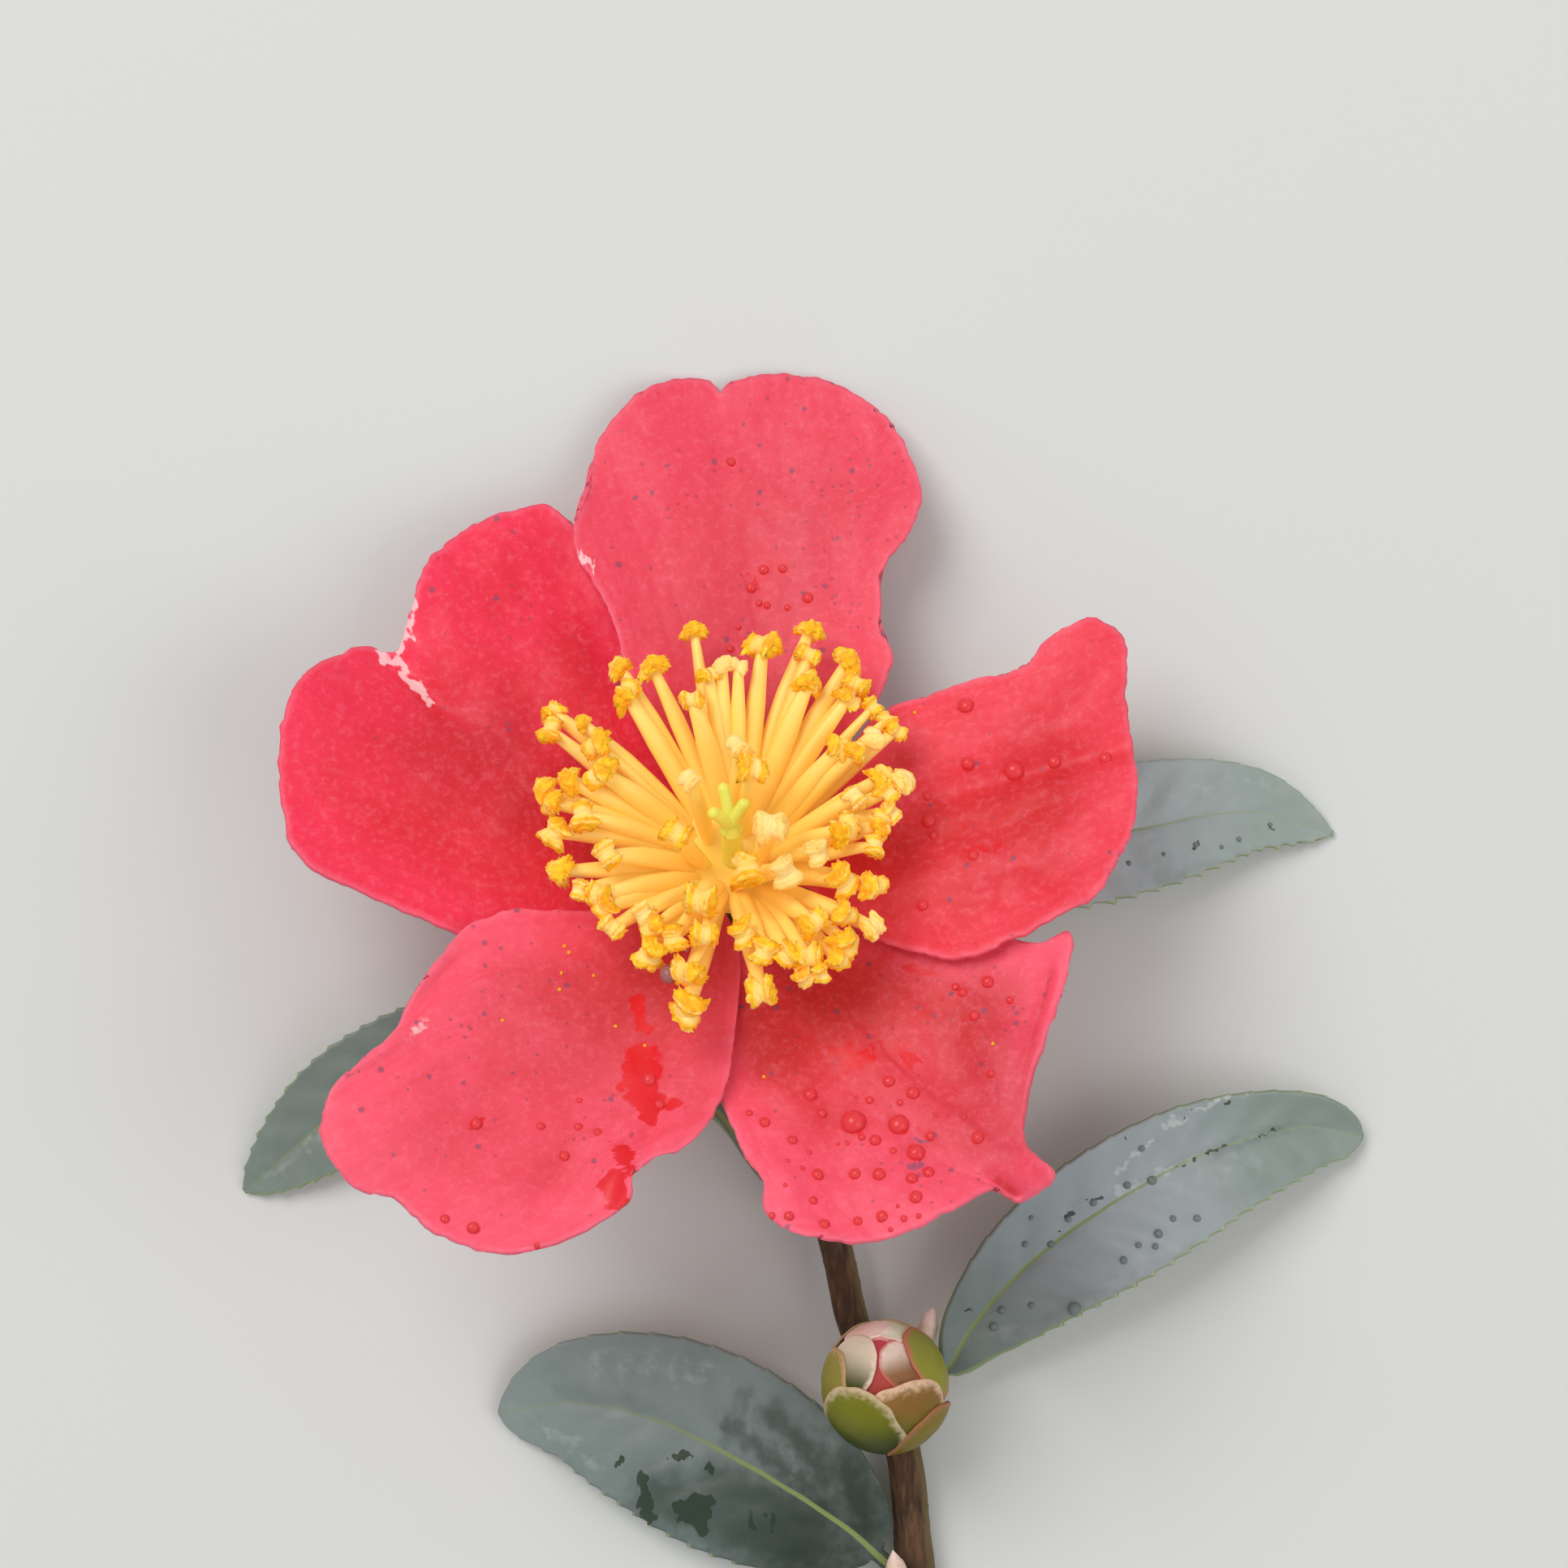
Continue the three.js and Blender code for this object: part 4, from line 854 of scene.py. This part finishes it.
def on_bud(direction, layer):
    """The place in a direction from the bud's middle, so many millimetres above its core."""
    wide = (BUD_RADIUS + layer) * (1 - 0.06 * max(direction.z, 0) ** 2)
    tall = (BUD_RADIUS + layer) * BUD_LONG
    return Vector((direction.x * wide, direction.y * wide, direction.z * tall))


def bud_skin(name, foot, tip, edge):
    skin = Skin(name, roughness=0.42, specular_ior_level=0.12, subsurface_weight=0.1,
                subsurface_scale=0.001)
    body = skin.mix(skin.ramp(skin.mark("rise"), 0.25, 0.85), foot, tip)
    skin.colour = skin.blotches(body, skin.mix(0.03, body, (236, 226, 150)), 420.0, 3.0)
    fine = skin.grain(1800.0, 3.0)
    skin.lay(edge, skin.ragged("to_edge", fine, 0.3), 0.14, 0.36, 0.9, 0.0)
    return skin.done(fine)


bm = bmesh.new()
bmesh.ops.create_uvsphere(bm, u_segments=48, v_segments=32, radius=1.0)
for v in bm.verts:
    v.co = on_bud(v.co.normalized(), -0.15 + 0.4 * max(0.0, -v.co.z) ** 3)
bmesh.ops.transform(bm, matrix=BUD_TO_SPRIG, verts=bm.verts)
wrapped_tube(bm, smooth_line(BUD_STALK),
             lambda share, turn: 1.1 + 0.3 * share + 0.05 * math.cos(5 * turn), 20, 10, (1, 0, 0))
[to_edge] = painted(bm, "to_edge")
for v in bm.verts:
    v[to_edge] = 1.0
core_skin = bud_skin("Bud core and stalk", (118, 116, 52), (200, 110, 110), (150, 120, 70))
settle("bud_core", bm, core_skin, "bud", "flower_bud")

into_bud = BUD_TO_SPRIG.to_3x3().inverted()
crown = into_bud @ BUD_CROWN.normalized()
for k, (middle, spread, layer, squareness, foot, tip, edge) in enumerate(BUD_SCALES):
    level = math.sqrt(max(0.02, 1 - middle[0] ** 2 - middle[1] ** 2))
    heart = into_bud @ Vector((middle[0], middle[1], level * middle[2])).normalized()
    upward = (crown - heart * heart.dot(crown)).normalized()
    aside = upward.cross(heart)
    bm = bmesh.new()
    to_edge, rise = painted(bm, "to_edge", "rise")
    bmesh.ops.create_grid(bm, x_segments=30, y_segments=30, size=1.0)
    for v in bm.verts:
        a, b = v.co.x, v.co.y
        x, y = a * math.sqrt(1 - b * b / 2), b * math.sqrt(1 - a * a / 2)
        out = math.hypot(x, y)
        flat = Vector((x, y, 0)).normalized() if out > 1e-6 else Vector((0, 1, 0))
        ragged = 0.05 * wobble(x * 2.6, y * 2.6, k + 20) * out
        reach = math.radians(spread) * (1 + 0.08 * max(0.0, y) ** 3 - 0.08 * x * x + ragged) * out
        reach *= (abs(flat.x) ** squareness + abs(flat.y) ** squareness) ** (-1 / squareness)
        ripple = 1 + 0.012 * wobble(x * 3, y * 3, k)
        direction = heart * math.cos(reach) + (aside * flat.x + upward * flat.y) * math.sin(reach)
        lip = 0.03 * max(0.0, out - 0.85) / 0.15
        v.co = on_bud(direction.normalized(), layer + lip) * ripple
        v[to_edge] = 1 - out
        v[rise] = 0.5 + 0.5 * y
    bmesh.ops.recalc_face_normals(bm, faces=bm.faces)
    skin = bud_skin(f"Bud scale {k + 1}", foot, tip, edge)
    shell = settle(f"bud_scale_{k + 1}", bm, skin, "bud", "flower_bud", placed=BUD_TO_SPRIG)
    thickened(shell, BUD_SCALE_THICKNESS)

# Leaf buds: two slim pointed buds in the angles between a leaf and the stem, wrapped in
# silky, pinkish scales.
LEAF_BUDS = {
    "leaf_bud_upper": ((10.2, -51.5, 3.6), (12.2, -49.4, 4.3), (13.2, -46.35, 4.9), 0.92, 0.16),
    "leaf_bud_lower": ((10.3, -71.7, 4.7), (9.95, -69.65, 5.15), (9.6, -67.6, 5.6), 1.0, 0.8),
}
silky = Skin("Silky leaf bud scales", roughness=0.5, sheen_weight=0.2, subsurface_weight=0.1,
             subsurface_scale=0.001)
along = silky.mark("along")
silky.colour = silky.blotches((196, 158, 120), (226, 196, 176), 700.0, 3.0)
silky.lay((158, 146, 76), along, 0.0, 0.4, 0.8, 0.0)
silky.lay((240, 214, 206), along, 0.6, 1.0, 0.0, 0.8)
leaf_bud_skin = silky.done()
for name, (foot, bend, tip, radius, slimness) in LEAF_BUDS.items():
    bm = bmesh.new()

    def scaly(share, turn):
        share = held(share)
        body = radius * max(0.1, math.sin(math.pi * (0.18 + 0.8 * share))) ** slimness
        step = (share * 3.2 + turn / (2 * math.pi)) % 1.0
        return body * (1.0 + 0.10 * step) * math.sqrt(max(0.04, 1 - share ** 7))

    wrapped_tube(bm, smooth_line([foot, bend, tip]), scaly, 28, 40, (0, 0, 1))
    [along_layer] = painted(bm, "along")
    for v in bm.verts:
        v[along_layer] = (v.co - Vector(foot)).length / (Vector(tip) - Vector(foot)).length
    settle(name + "_scales", bm, leaf_bud_skin, "leaf_bud", name)

# Leaves: four thick evergreen blades on short stalks, dark green under a painted grey sheen of
# reflected sky, lighter towards the tip, with a thin pale midrib and small hard teeth round the
# margin. The undersides are paler.
# The foot, middle and tip colours carry the painted sheen: grey of reflected sky, lighter towards the
# tip.
LEAVES = {
    "leaf_lower_left": dict(
        rib=[(9.2, -69.2, 3.2), (5.7, -66.0, 4.2), (-3.2, -60.2, 5.0), (-11.6, -56.2, 4.6),
             (-18.7, -54.9, 3.2), (-25.4, -56.2, 0.9)],
        stalk=0.035, half=(8.9, 8.3), rise=(-1.0, 0.8), widest=0.45, fullness=0.56,
        teeth=(2.5, 2.0), bite=(0.34, 0.16), rib_ends=0.8, edge_line=(0.3, 0.0),
        foot=(38, 51, 38), middle=(122, 134, 129), tip=(128, 141, 136)),
    "leaf_lower_right": dict(
        rib=[(11.0, -54.4, 3.3), (14.2, -52.0, 4.3), (16.9, -47.6, 5.0), (22.3, -41.7, 6.0),
             (29.4, -36.6, 6.4), (38.0, -32.3, 5.2), (46.7, -30.5, 2.8), (51.6, -31.5, 0.9)],
        stalk=0.08, half=(5.3, 7.0), rise=(2.2, 1.6), widest=0.48, fullness=0.62,
        teeth=(2.3, 1.9), bite=(0.14, 0.34), rib_ends=0.9, edge_line=(0.0, 0.7), tip_fullness=0.44,
        foot=(108, 122, 114), middle=(158, 166, 168), tip=(132, 145, 134)),
    "leaf_right": dict(
        rib=[(-1.6, -15.3, 3.6), (3.9, -11.9, 4.4), (16.8, -7.4, 4.6), (31.1, -4.1, 4.2),
             (41.4, -2.5, 2.4), (49.0, -4.4, 0.29)],
        stalk=0.12, half=(6.2, 5.7), rise=(0.8, 0.9), widest=0.52, fullness=0.7,
        teeth=(3.3, 1.5), bite=(0.1, 0.5), rib_ends=0.93, edge_line=(0.15, 0.7),
        foot=(154, 166, 160), middle=(188, 199, 201), tip=(146, 158, 150)),
    "leaf_left": dict(
        rib=[(1.8, -37.6, 4.4), (-1.7, -34.4, 4.9), (-6.5, -28.4, 5.0), (-15.5, -23.8, 5.2),
             (-26.8, -23.0, 4.8), (-37.2, -27.4, 3.0), (-48.2, -36.4, 0.29)],
        stalk=0.13, half=(5.2, 5.2), rise=(0.9, 0.6), widest=0.66, fullness=0.62,
        teeth=(1.9, 1.5), bite=(0.28, 0.34), rib_ends=1.0, edge_line=(0.7, 0.4),
        foot=(96, 110, 100), middle=(104, 118, 108), tip=(114, 128, 116)),
}
LEAF_COLUMNS = 44
LEAF_ROWS = 260
LEAF_THICKNESS = 0.6
LEAF_STALK_THICKNESS = 1.3
SIDE_VEIN_GAP = 4.6

# Painted shade (shadowy), wet patches, and pale marks that are partly dried rain and partly painted
# sheen on wet streaks, on the leaves, as strokes like those on the petals.
LEAF_MARKS = {
    "leaf_lower_left": dict(
        shadowy=[(-10.6, -63.2, 1, -67, 3.2, 1), (-6, -61.8, 2.5, -64.8, 2.4, 1),
                 (4, -61, -1, -55.8, 1.5, 0.8), (2, -62, -4.8, -56.6, 1.1, 0.8),
                 (-5, -58, -3.4, -53.8, 1.0, 0.5), (5.4, -60.4, 7.4, -65.5, 1.8, 0.8),
                 (-11, -55.2, -20, -53.8, 1.0, 0.3), (-14, -66, -22, -60, 0.9, 0.3)],
        wet=[(-9.0, -63.6, -6.6, -63.6, 0.7, 1), (-8.6, -64.6, -7.0, -64.6, 1.0, 1),
             (-7.8, -65.6, -7.4, -65.9, 0.7, 1), (-12.5, -61.2, -12.2, -64.4, 0.75, 1),
             (-11.8, -64.6, -11.7, -65.1, 0.5, 1), (-9.6, -59.4, -8.4, -59.5, 0.5, 1),
             (-6.6, -60.5, -6.4, -60.5, 0.5, 1), (-3.0, -64.6, -2.8, -65.8, 0.3, 0.9),
             (-1.2, -64.6, -1.0, -66.4, 0.3, 0.9), (-14.6, -59.8, -14.4, -60.2, 0.4, 0.9)],
        dried=[(-16.5, -60.0, -20.5, -57.5, 1.6, 0.35), (-7, -52, -16, -51.2, 2.4, 0.34)]),
    "leaf_lower_right": dict(
        shadowy=[(38, -32.6, 44, -30.8, 0.7, 0.4), (24, -46.5, 36, -41, 1.4, 0.29),
                 (30, -29.5, 38, -26.8, 0.8, 0.29)],
        wet=[(37.4, -32.4, 39.2, -31.9, 0.24, 0.8), (41.3, -31.4, 43.2, -30.9, 0.2, 0.8),
             (34.6, -33.7, 36.3, -33.2, 0.2, 0.8), (31.9, -35.0, 32.6, -34.8, 0.26, 0.8),
             (27.0, -36.8, 27.6, -36.5, 0.22, 0.8), (24.7, -38.2, 25.4, -37.8, 0.3, 1),
             (24.3, -39.4, 24.7, -39.2, 0.24, 0.9), (21.4, -38.4, 21.8, -38.2, 0.2, 0.8),
             (38.8, -28.0, 39.6, -27.7, 0.24, 1), (34.9, -29.1, 35.6, -28.8, 0.2, 0.8),
             (29.6, -31.0, 30.1, -30.8, 0.18, 0.8), (15.9, -46.4, 16.2, -46.0, 0.24, 0.9)],
        dried=[(33.4, -29.8, 35.6, -29.0, 0.34, 1), (36.0, -28.6, 38.0, -27.9, 0.3, 0.9),
               (38.0, -27.6, 40.8, -26.8, 0.34, 1), (29.4, -34.3, 31.0, -32.2, 0.3, 0.9),
               (31.2, -32.4, 32.4, -31.2, 0.34, 0.9), (29.2, -36.0, 36.2, -33.0, 0.4, 0.6),
               (33, -36, 41, -33.5, 1.8, 0.3)]),
    "leaf_right": dict(
        shadowy=[(33, -8.8, 44, -5.6, 0.7, 0.29)],
        wet=[(36.4, -5.4, 36.6, -5.5, 0.25, 0.9), (43.2, -3.6, 43.5, -3.7, 0.25, 0.9)],
        dried=[(33, -1.2, 44, 0.2, 1.5, 0.3)]),
    "leaf_left": dict(
        shadowy=[(-34, -28.5, -44, -35, 1.6, 0.18)],
        wet=[(-40.6, -31.0, -40.2, -30.8, 0.3, 0.9)],
        dried=[(-38, -29, -46, -35, 1.0, 0.35)]),
}


def leaf_skin(name, leaf):
    skin = Skin(name, specular_ior_level=0.4)
    spread = skin.add("UVMap", uv_map="leaf").outputs[0]
    along = skin.add("SeparateXYZ", {0: spread}).outputs[1]
    fine = skin.grain(900.0, 4.0)
    # The grey over the dark green, darkest at the foot and lighter towards the tip, is painted sheen:
    # reflected sky put into the colour.
    body = skin.mix(skin.ramp(along, 0.1, 0.5), leaf["foot"], leaf["middle"])
    body = skin.mix(skin.ramp(along, 0.5, 0.92), body, leaf["tip"])
    darker = skin.mix(0.26, body, (38, 52, 40))
    lighter = skin.mix(0.16, body, (206, 214, 212))
    skin.colour = skin.blotches(skin.blotches(darker, lighter, 90.0, 2.4), body, 900.0, 1.6)
    skin.lay(darker, skin.mark("side_vein"), 0.2, 1.0, 0.0, 0.16)
    skin.lay(skin.mix(0.75, body, (24, 44, 26)), skin.mark("shadowy"), end=0.9)
    # Pale marks: dried rain, and painted sheen where wet streaks catch the light.
    skin.lay((196, 204, 200), skin.ragged("dried", fine, 0.8), 0.62, 1.2, 0.0, 0.6)
    rib = skin.ramp(skin.mark("midrib"), 0.7, 1.2, 0.9, 0.0)
    fading = skin.ramp(along, leaf["rib_ends"] - 0.5, leaf["rib_ends"], 1.0, 0.25)
    skin.colour = skin.mix(skin.work_out("MULTIPLY", rib, fading), skin.colour, (132, 146, 80))
    skin.lay((146, 160, 88), skin.mark("edge_line"), 0.2, 1.0, 0.0, 0.8)
    skin.lay((186, 188, 122), skin.mark("tooth"), 0.45, 0.9, 0.0, 0.9)
    film = skin.ramp(skin.ragged("wet", fine, 0.5), 0.7, 0.84)
    skin.lay((40, 57, 38), film, end=0.86)
    pale = skin.blotches((116, 138, 84), (140, 158, 104), 300.0, 2.0)
    skin.colour = skin.mix(skin.mark("underside"), skin.colour, pale)
    sheen = skin.ramp(fine, 0.3, 0.7, 0.34, 0.5)
    skin.plug(skin.add("Mix", {0: film, 2: sheen, 3: 0.1}).outputs[0], skin.inputs["Roughness"])
    return skin.done(fine, 0.25, 0.0002)


leaf_blades = {}
for name, leaf in LEAVES.items():
    midrib = smooth_line(leaf["rib"])
    power = math.log(0.5) / math.log(leaf["widest"])
    first, last = leaf["teeth"]
    bm = bmesh.new()
    bm.loops.layers.uv.new("leaf")
    bmesh.ops.create_grid(bm, x_segments=LEAF_COLUMNS, y_segments=LEAF_ROWS, size=0.5, calc_uvs=True)
    kinds = ("midrib", "side_vein", "tooth", "underside", "wet", "dried", "shadowy", "edge_line")
    layers = dict(zip(kinds, painted(bm, *kinds)))
    thickness = {}
    for v in bm.verts:
        across, along = 2 * v.co.x, v.co.y + 0.5
        here = midrib(along)
        ahead = (midrib(along + 0.006) - midrib(along - 0.006)).normalized()
        aside = ahead.cross(Vector((0, 0, 1))).normalized()
        blade = held((along - leaf["stalk"]) / (1 - leaf["stalk"]))
        fullness = leaf["fullness"]
        fullness += (leaf.get("tip_fullness", fullness) - fullness) * held((blade - 0.7) / 0.3)
        share = math.sin(math.pi * blade ** power) ** fullness
        side = 0 if across < 0 else 1
        half = max(0.3 if along > 0.5 else 0.65, leaf["half"][side] * share)
        away = half * abs(across)
        spacing = first + (last - first) * along
        run = midrib.length / (last - first) * math.log(spacing / first) + 0.37 * side
        tooth = (run % 1.0) ** 2.2 * held((blade - 0.12) / 0.1)
        outer = max(0.0, abs(across) - 0.9) / 0.1
        bite = leaf["bite"][side]
        reach = away + bite * (tooth - 0.3) * outer * min(1.0, share * 3)
        lift = leaf["rise"][side] * share * abs(across) ** 1.5
        groove = -0.2 * bell(away, 0.5) * min(1.0, share * 2)
        slant = ((along * midrib.length - 0.85 * away) / SIDE_VEIN_GAP + 0.45 * side) % 1.0
        vein = max(0.0, 1 - abs(slant - 0.5) / 0.06) * min(1.0, away / 1.5)
        puff = 0.16 * math.cos(2 * math.pi * slant) * min(1.0, away / 2) * (1 - abs(across) ** 3)
        drape = 0.3 * wobble(here.x * 0.12, here.y * 0.12, across * 1.5) * abs(across)
        ripple = 0.12 * wobble(along * 14, side * 7, 3) * across ** 2
        rises = lift + (groove + puff + drape + ripple) * share
        v.co = here + aside * math.copysign(reach, across) + Vector((0, 0, rises))
        v[layers["midrib"]] = away / (0.3 - 0.14 * along)
        v[layers["side_vein"]] = vein * max(0.0, 1 - abs(across) ** 4)
        v[layers["tooth"]] = tooth * outer * min(1.0, bite / 0.2)
        v[layers["edge_line"]] = leaf["edge_line"][side] * max(0.0, 1 - (half - away) / 0.45)
        for kind, strokes in LEAF_MARKS[name].items():
            v[layers[kind]] = marked(v.co.x, v.co.y, strokes, 0.7)
        blade_share = held((along - 0.4 * leaf["stalk"]) / (1.8 * leaf["stalk"]))
        middle = LEAF_STALK_THICKNESS + (LEAF_THICKNESS - LEAF_STALK_THICKNESS) * blade_share
        thickness[v] = middle * (1 - 0.35 * abs(across) ** 6)
    bm.normal_update()
    if sum(f.normal.z for f in bm.faces) < 0:
        bmesh.ops.reverse_faces(bm, faces=bm.faces)
        bm.normal_update()
    half_depths = {v: v.normal * thickness[v] / 2 for v in bm.verts}
    lowered = bmesh.ops.duplicate(bm, geom=list(bm.faces))
    rim_edges = [e for e in bm.edges if e.is_boundary]
    for v, half_depth in half_depths.items():
        under = lowered["vert_map"][v]
        under.co = v.co - half_depth
        under[layers["underside"]] = 1.0
        v.co = v.co + half_depth
    lower_faces = [g for g in lowered["geom"] if isinstance(g, bmesh.types.BMFace)]
    bmesh.ops.reverse_faces(bm, faces=lower_faces)
    bmesh.ops.bridge_loops(bm, edges=rim_edges)
    bmesh.ops.recalc_face_normals(bm, faces=bm.faces)
    leaf_blades[name] = settle(name + "_blade", bm, leaf_skin(name, leaf), "leaf", name)

# Rain: drops standing where they fell on the petals and leaves, tinted with the colour of the lit skin
# seen through them (painted light), and crumbs of pollen that were washed from the anthers onto the
# petals. They cling to the skin under them.
LEAF_DROPS = {
    "leaf_lower_right": [
        (36.3, -38.2, 0.7), (32.9, -39.5, 0.8), (31.1, -40.5, 0.6), (32.6, -40.6, 0.6),
        (29.8, -41.8, 0.7), (25.5, -46.1, 1.2), (34.2, -38.2, 0.6), (19.2, -46.4, 0.7),
        (18.5, -47.9, 0.8), (21.8, -45.9, 0.6), (23.5, -40.5, 0.7), (21.2, -40.5, 0.6),
        (21.7, -38.1, 0.5), (30.2, -35.3, 0.7), (31.4, -32.0, 0.6), (25.0, -38.3, 0.6),
        (27.2, -36.8, 0.7), (32.4, -34.9, 0.9)],
    "leaf_right": [(30.5, -7.0, 0.5), (33.6, -6.2, 0.4), (36.5, -5.4, 0.5), (38.8, -5.6, 0.4),
                   (40.4, -4.9, 0.5), (43.3, -3.6, 0.4)],
}
# Drops that hang between anthers, seen the same way, with their height in the bloom as well.
HANGING_DROPS = [(-5.3, -13.5, 11.2, 1.5), (-12.8, -5.4, 11.2, 1.1), (-3.9, -11.4, 11.7, 0.6),
                 (10.1, 2.7, 11.4, 1.5)]
# Each drop's colour is painted light: the lit skin under it as seen through clear water.
SEEN_THROUGH_TINTS = {"petal": (255, 78, 84), "leaf": (138, 150, 144),
              "stamens": (184, 120, 122)}
POLLEN_CRUMBS = {
    "petal_lower_left": [(-14.3, -8.6), (-14.5, -11.2), (-11.8, -11.1), (-14.6, -12.7), (-9.9, -15.5),
                         (-7.4, -17.2), (-19.3, -15.9), (-13.9, -9.2)],
    "petal_lower_right": [(21.8, -17.7), (2.6, -19.6)],
    "petal_right": [(15.6, 12.8)],
}
CRUMB_RADIUS = 0.16
from_part = (MM_TO_METRES @ SPRIG_TO_PART).inverted()
looking = bpy.context.evaluated_depsgraph_get()
skins = {name: BVHTree.FromObject(piece, looking) for name, piece in {**blades, **leaf_blades}.items()}


def stood_on(name, x, y):
    """The point and the slope of a skin under a place seen along the bloom, or from above."""
    to_sprig = BLOOM_TO_SPRIG if name in blades else Matrix.Identity(4)
    start = MM_TO_METRES @ SPRIG_TO_PART @ to_sprig @ Vector((x, y, 40))
    towards = (to_sprig.to_3x3() @ Vector((0, 0, -1))).normalized()
    spot, slope = skins[name].ray_cast(start, towards)[:2]
    return (from_part @ spot, slope.normalized()) if spot else (None, None)


def new_drop(bm, wide):
    """The vertices of one more round drop."""
    newly_made(bm)
    bmesh.ops.create_uvsphere(bm, u_segments=20, v_segments=14, radius=wide / 2)
    return newly_made(bm)


drops_bm = {kind: bmesh.new() for kind in SEEN_THROUGH_TINTS}
for name, places in [*PETAL_DROPS.items(), *LEAF_DROPS.items()]:
    for x, y, wide in places:
        spot, slope = stood_on(name, x, y)
        if spot is None:
            continue
        standing = slope.to_track_quat("Z", "Y").to_matrix()
        for v in new_drop(drops_bm[name.split("_")[0]], wide):
            uneven = 1 + 0.12 * wobble(v.co.x * 1.6 + x, v.co.y * 1.6 + y, 2)
            tall = 0.86 if v.co.z > 0 else 0.3
            v.co = spot + standing @ Vector((v.co.x * uneven, v.co.y * uneven, v.co.z * tall))
for x, y, w, wide in HANGING_DROPS:
    for v in new_drop(drops_bm["stamens"], wide):
        v.co = BLOOM_TO_SPRIG @ (Vector((v.co.x, v.co.y * 1.15, v.co.z)) + Vector((x, y, w)))
for kind, bm in drops_bm.items():
    # The tint stands in for the light that comes through the drop from the skin below: painted light.
    water = Skin("Rain water on " + kind, roughness=0.03, ior=1.33, transmission_weight=0.34,
                 base_color=SEEN_THROUGH_TINTS[kind])
    settle("rain_on_" + kind, bm, water.material, kind)

bm = bmesh.new()
newly_made(bm)
for name, places in POLLEN_CRUMBS.items():
    for x, y in places:
        spot = stood_on(name, x, y)[0]
        if spot is None:
            continue
        bmesh.ops.create_icosphere(bm, subdivisions=2, radius=CRUMB_RADIUS)
        for v in newly_made(bm):
            lumps = 1 + 0.5 * noise.noise(v.co * 6 + Vector((x, y, 0)))
            v.co = spot + v.co * lumps + Vector((0, 0, 0.06))
crumb_skin = Skin("Fallen pollen", roughness=0.8, base_color=(250, 172, 34)).material
settle("fallen_pollen", bm, crumb_skin, "stamens")

# Setting: a plain pale table top, soft even daylight, and the camera straight above, as the
# photograph looks along the bloom.
CAMERA_HEIGHT = 390
DAYLIGHT = (0.93, 0.96, 1.0, 1.0)
LAMPS = [
    # name, place, what it points at, size, power
    ("Window light", (-0.5, 0.6, 1.0), (0, 0.02, 0), 0.7, 8.6),
    ("Fill light", (0.7, -0.2, 0.8), (0, 0, 0), 0.8, 3.0),
]
bm = bmesh.new()
bmesh.ops.create_grid(bm, x_segments=1, y_segments=1, size=2.0)
mesh = bpy.data.meshes.new("table_top")
bm.to_mesh(mesh)
bm.free()
table_top = bpy.data.objects.new("table_top", mesh)
bpy.context.collection.objects.link(table_top)
mesh.materials.append(Skin("Pale table", roughness=0.9, base_color=(214, 214, 210)).material)

scene = bpy.context.scene
scene.view_settings.view_transform = "Standard"
scene.world = bpy.data.worlds.new("Soft daylight")
scene.world.use_nodes = True
background = scene.world.node_tree.nodes["Background"].inputs
background["Color"].default_value = DAYLIGHT
background["Strength"].default_value = 0.52
for lamp_name, spot, aim, size, power in LAMPS:
    lamp = bpy.data.lights.new(lamp_name, "AREA")
    lamp.size = size
    lamp.energy = power
    lit = bpy.data.objects.new(lamp_name, lamp)
    lit.location = spot
    lit.rotation_euler = (Vector(spot) - Vector(aim)).to_track_quat("Z", "Y").to_euler()
    bpy.context.collection.objects.link(lit)

lens = bpy.data.cameras.new("View from above")
lens.lens = 100
lens.sensor_width = 36
camera = bpy.data.objects.new("View from above", lens)
camera.location = MM_TO_METRES @ SPRIG_TO_PART @ Vector((0, 0, CAMERA_HEIGHT))
bpy.context.collection.objects.link(camera)
scene.camera = camera
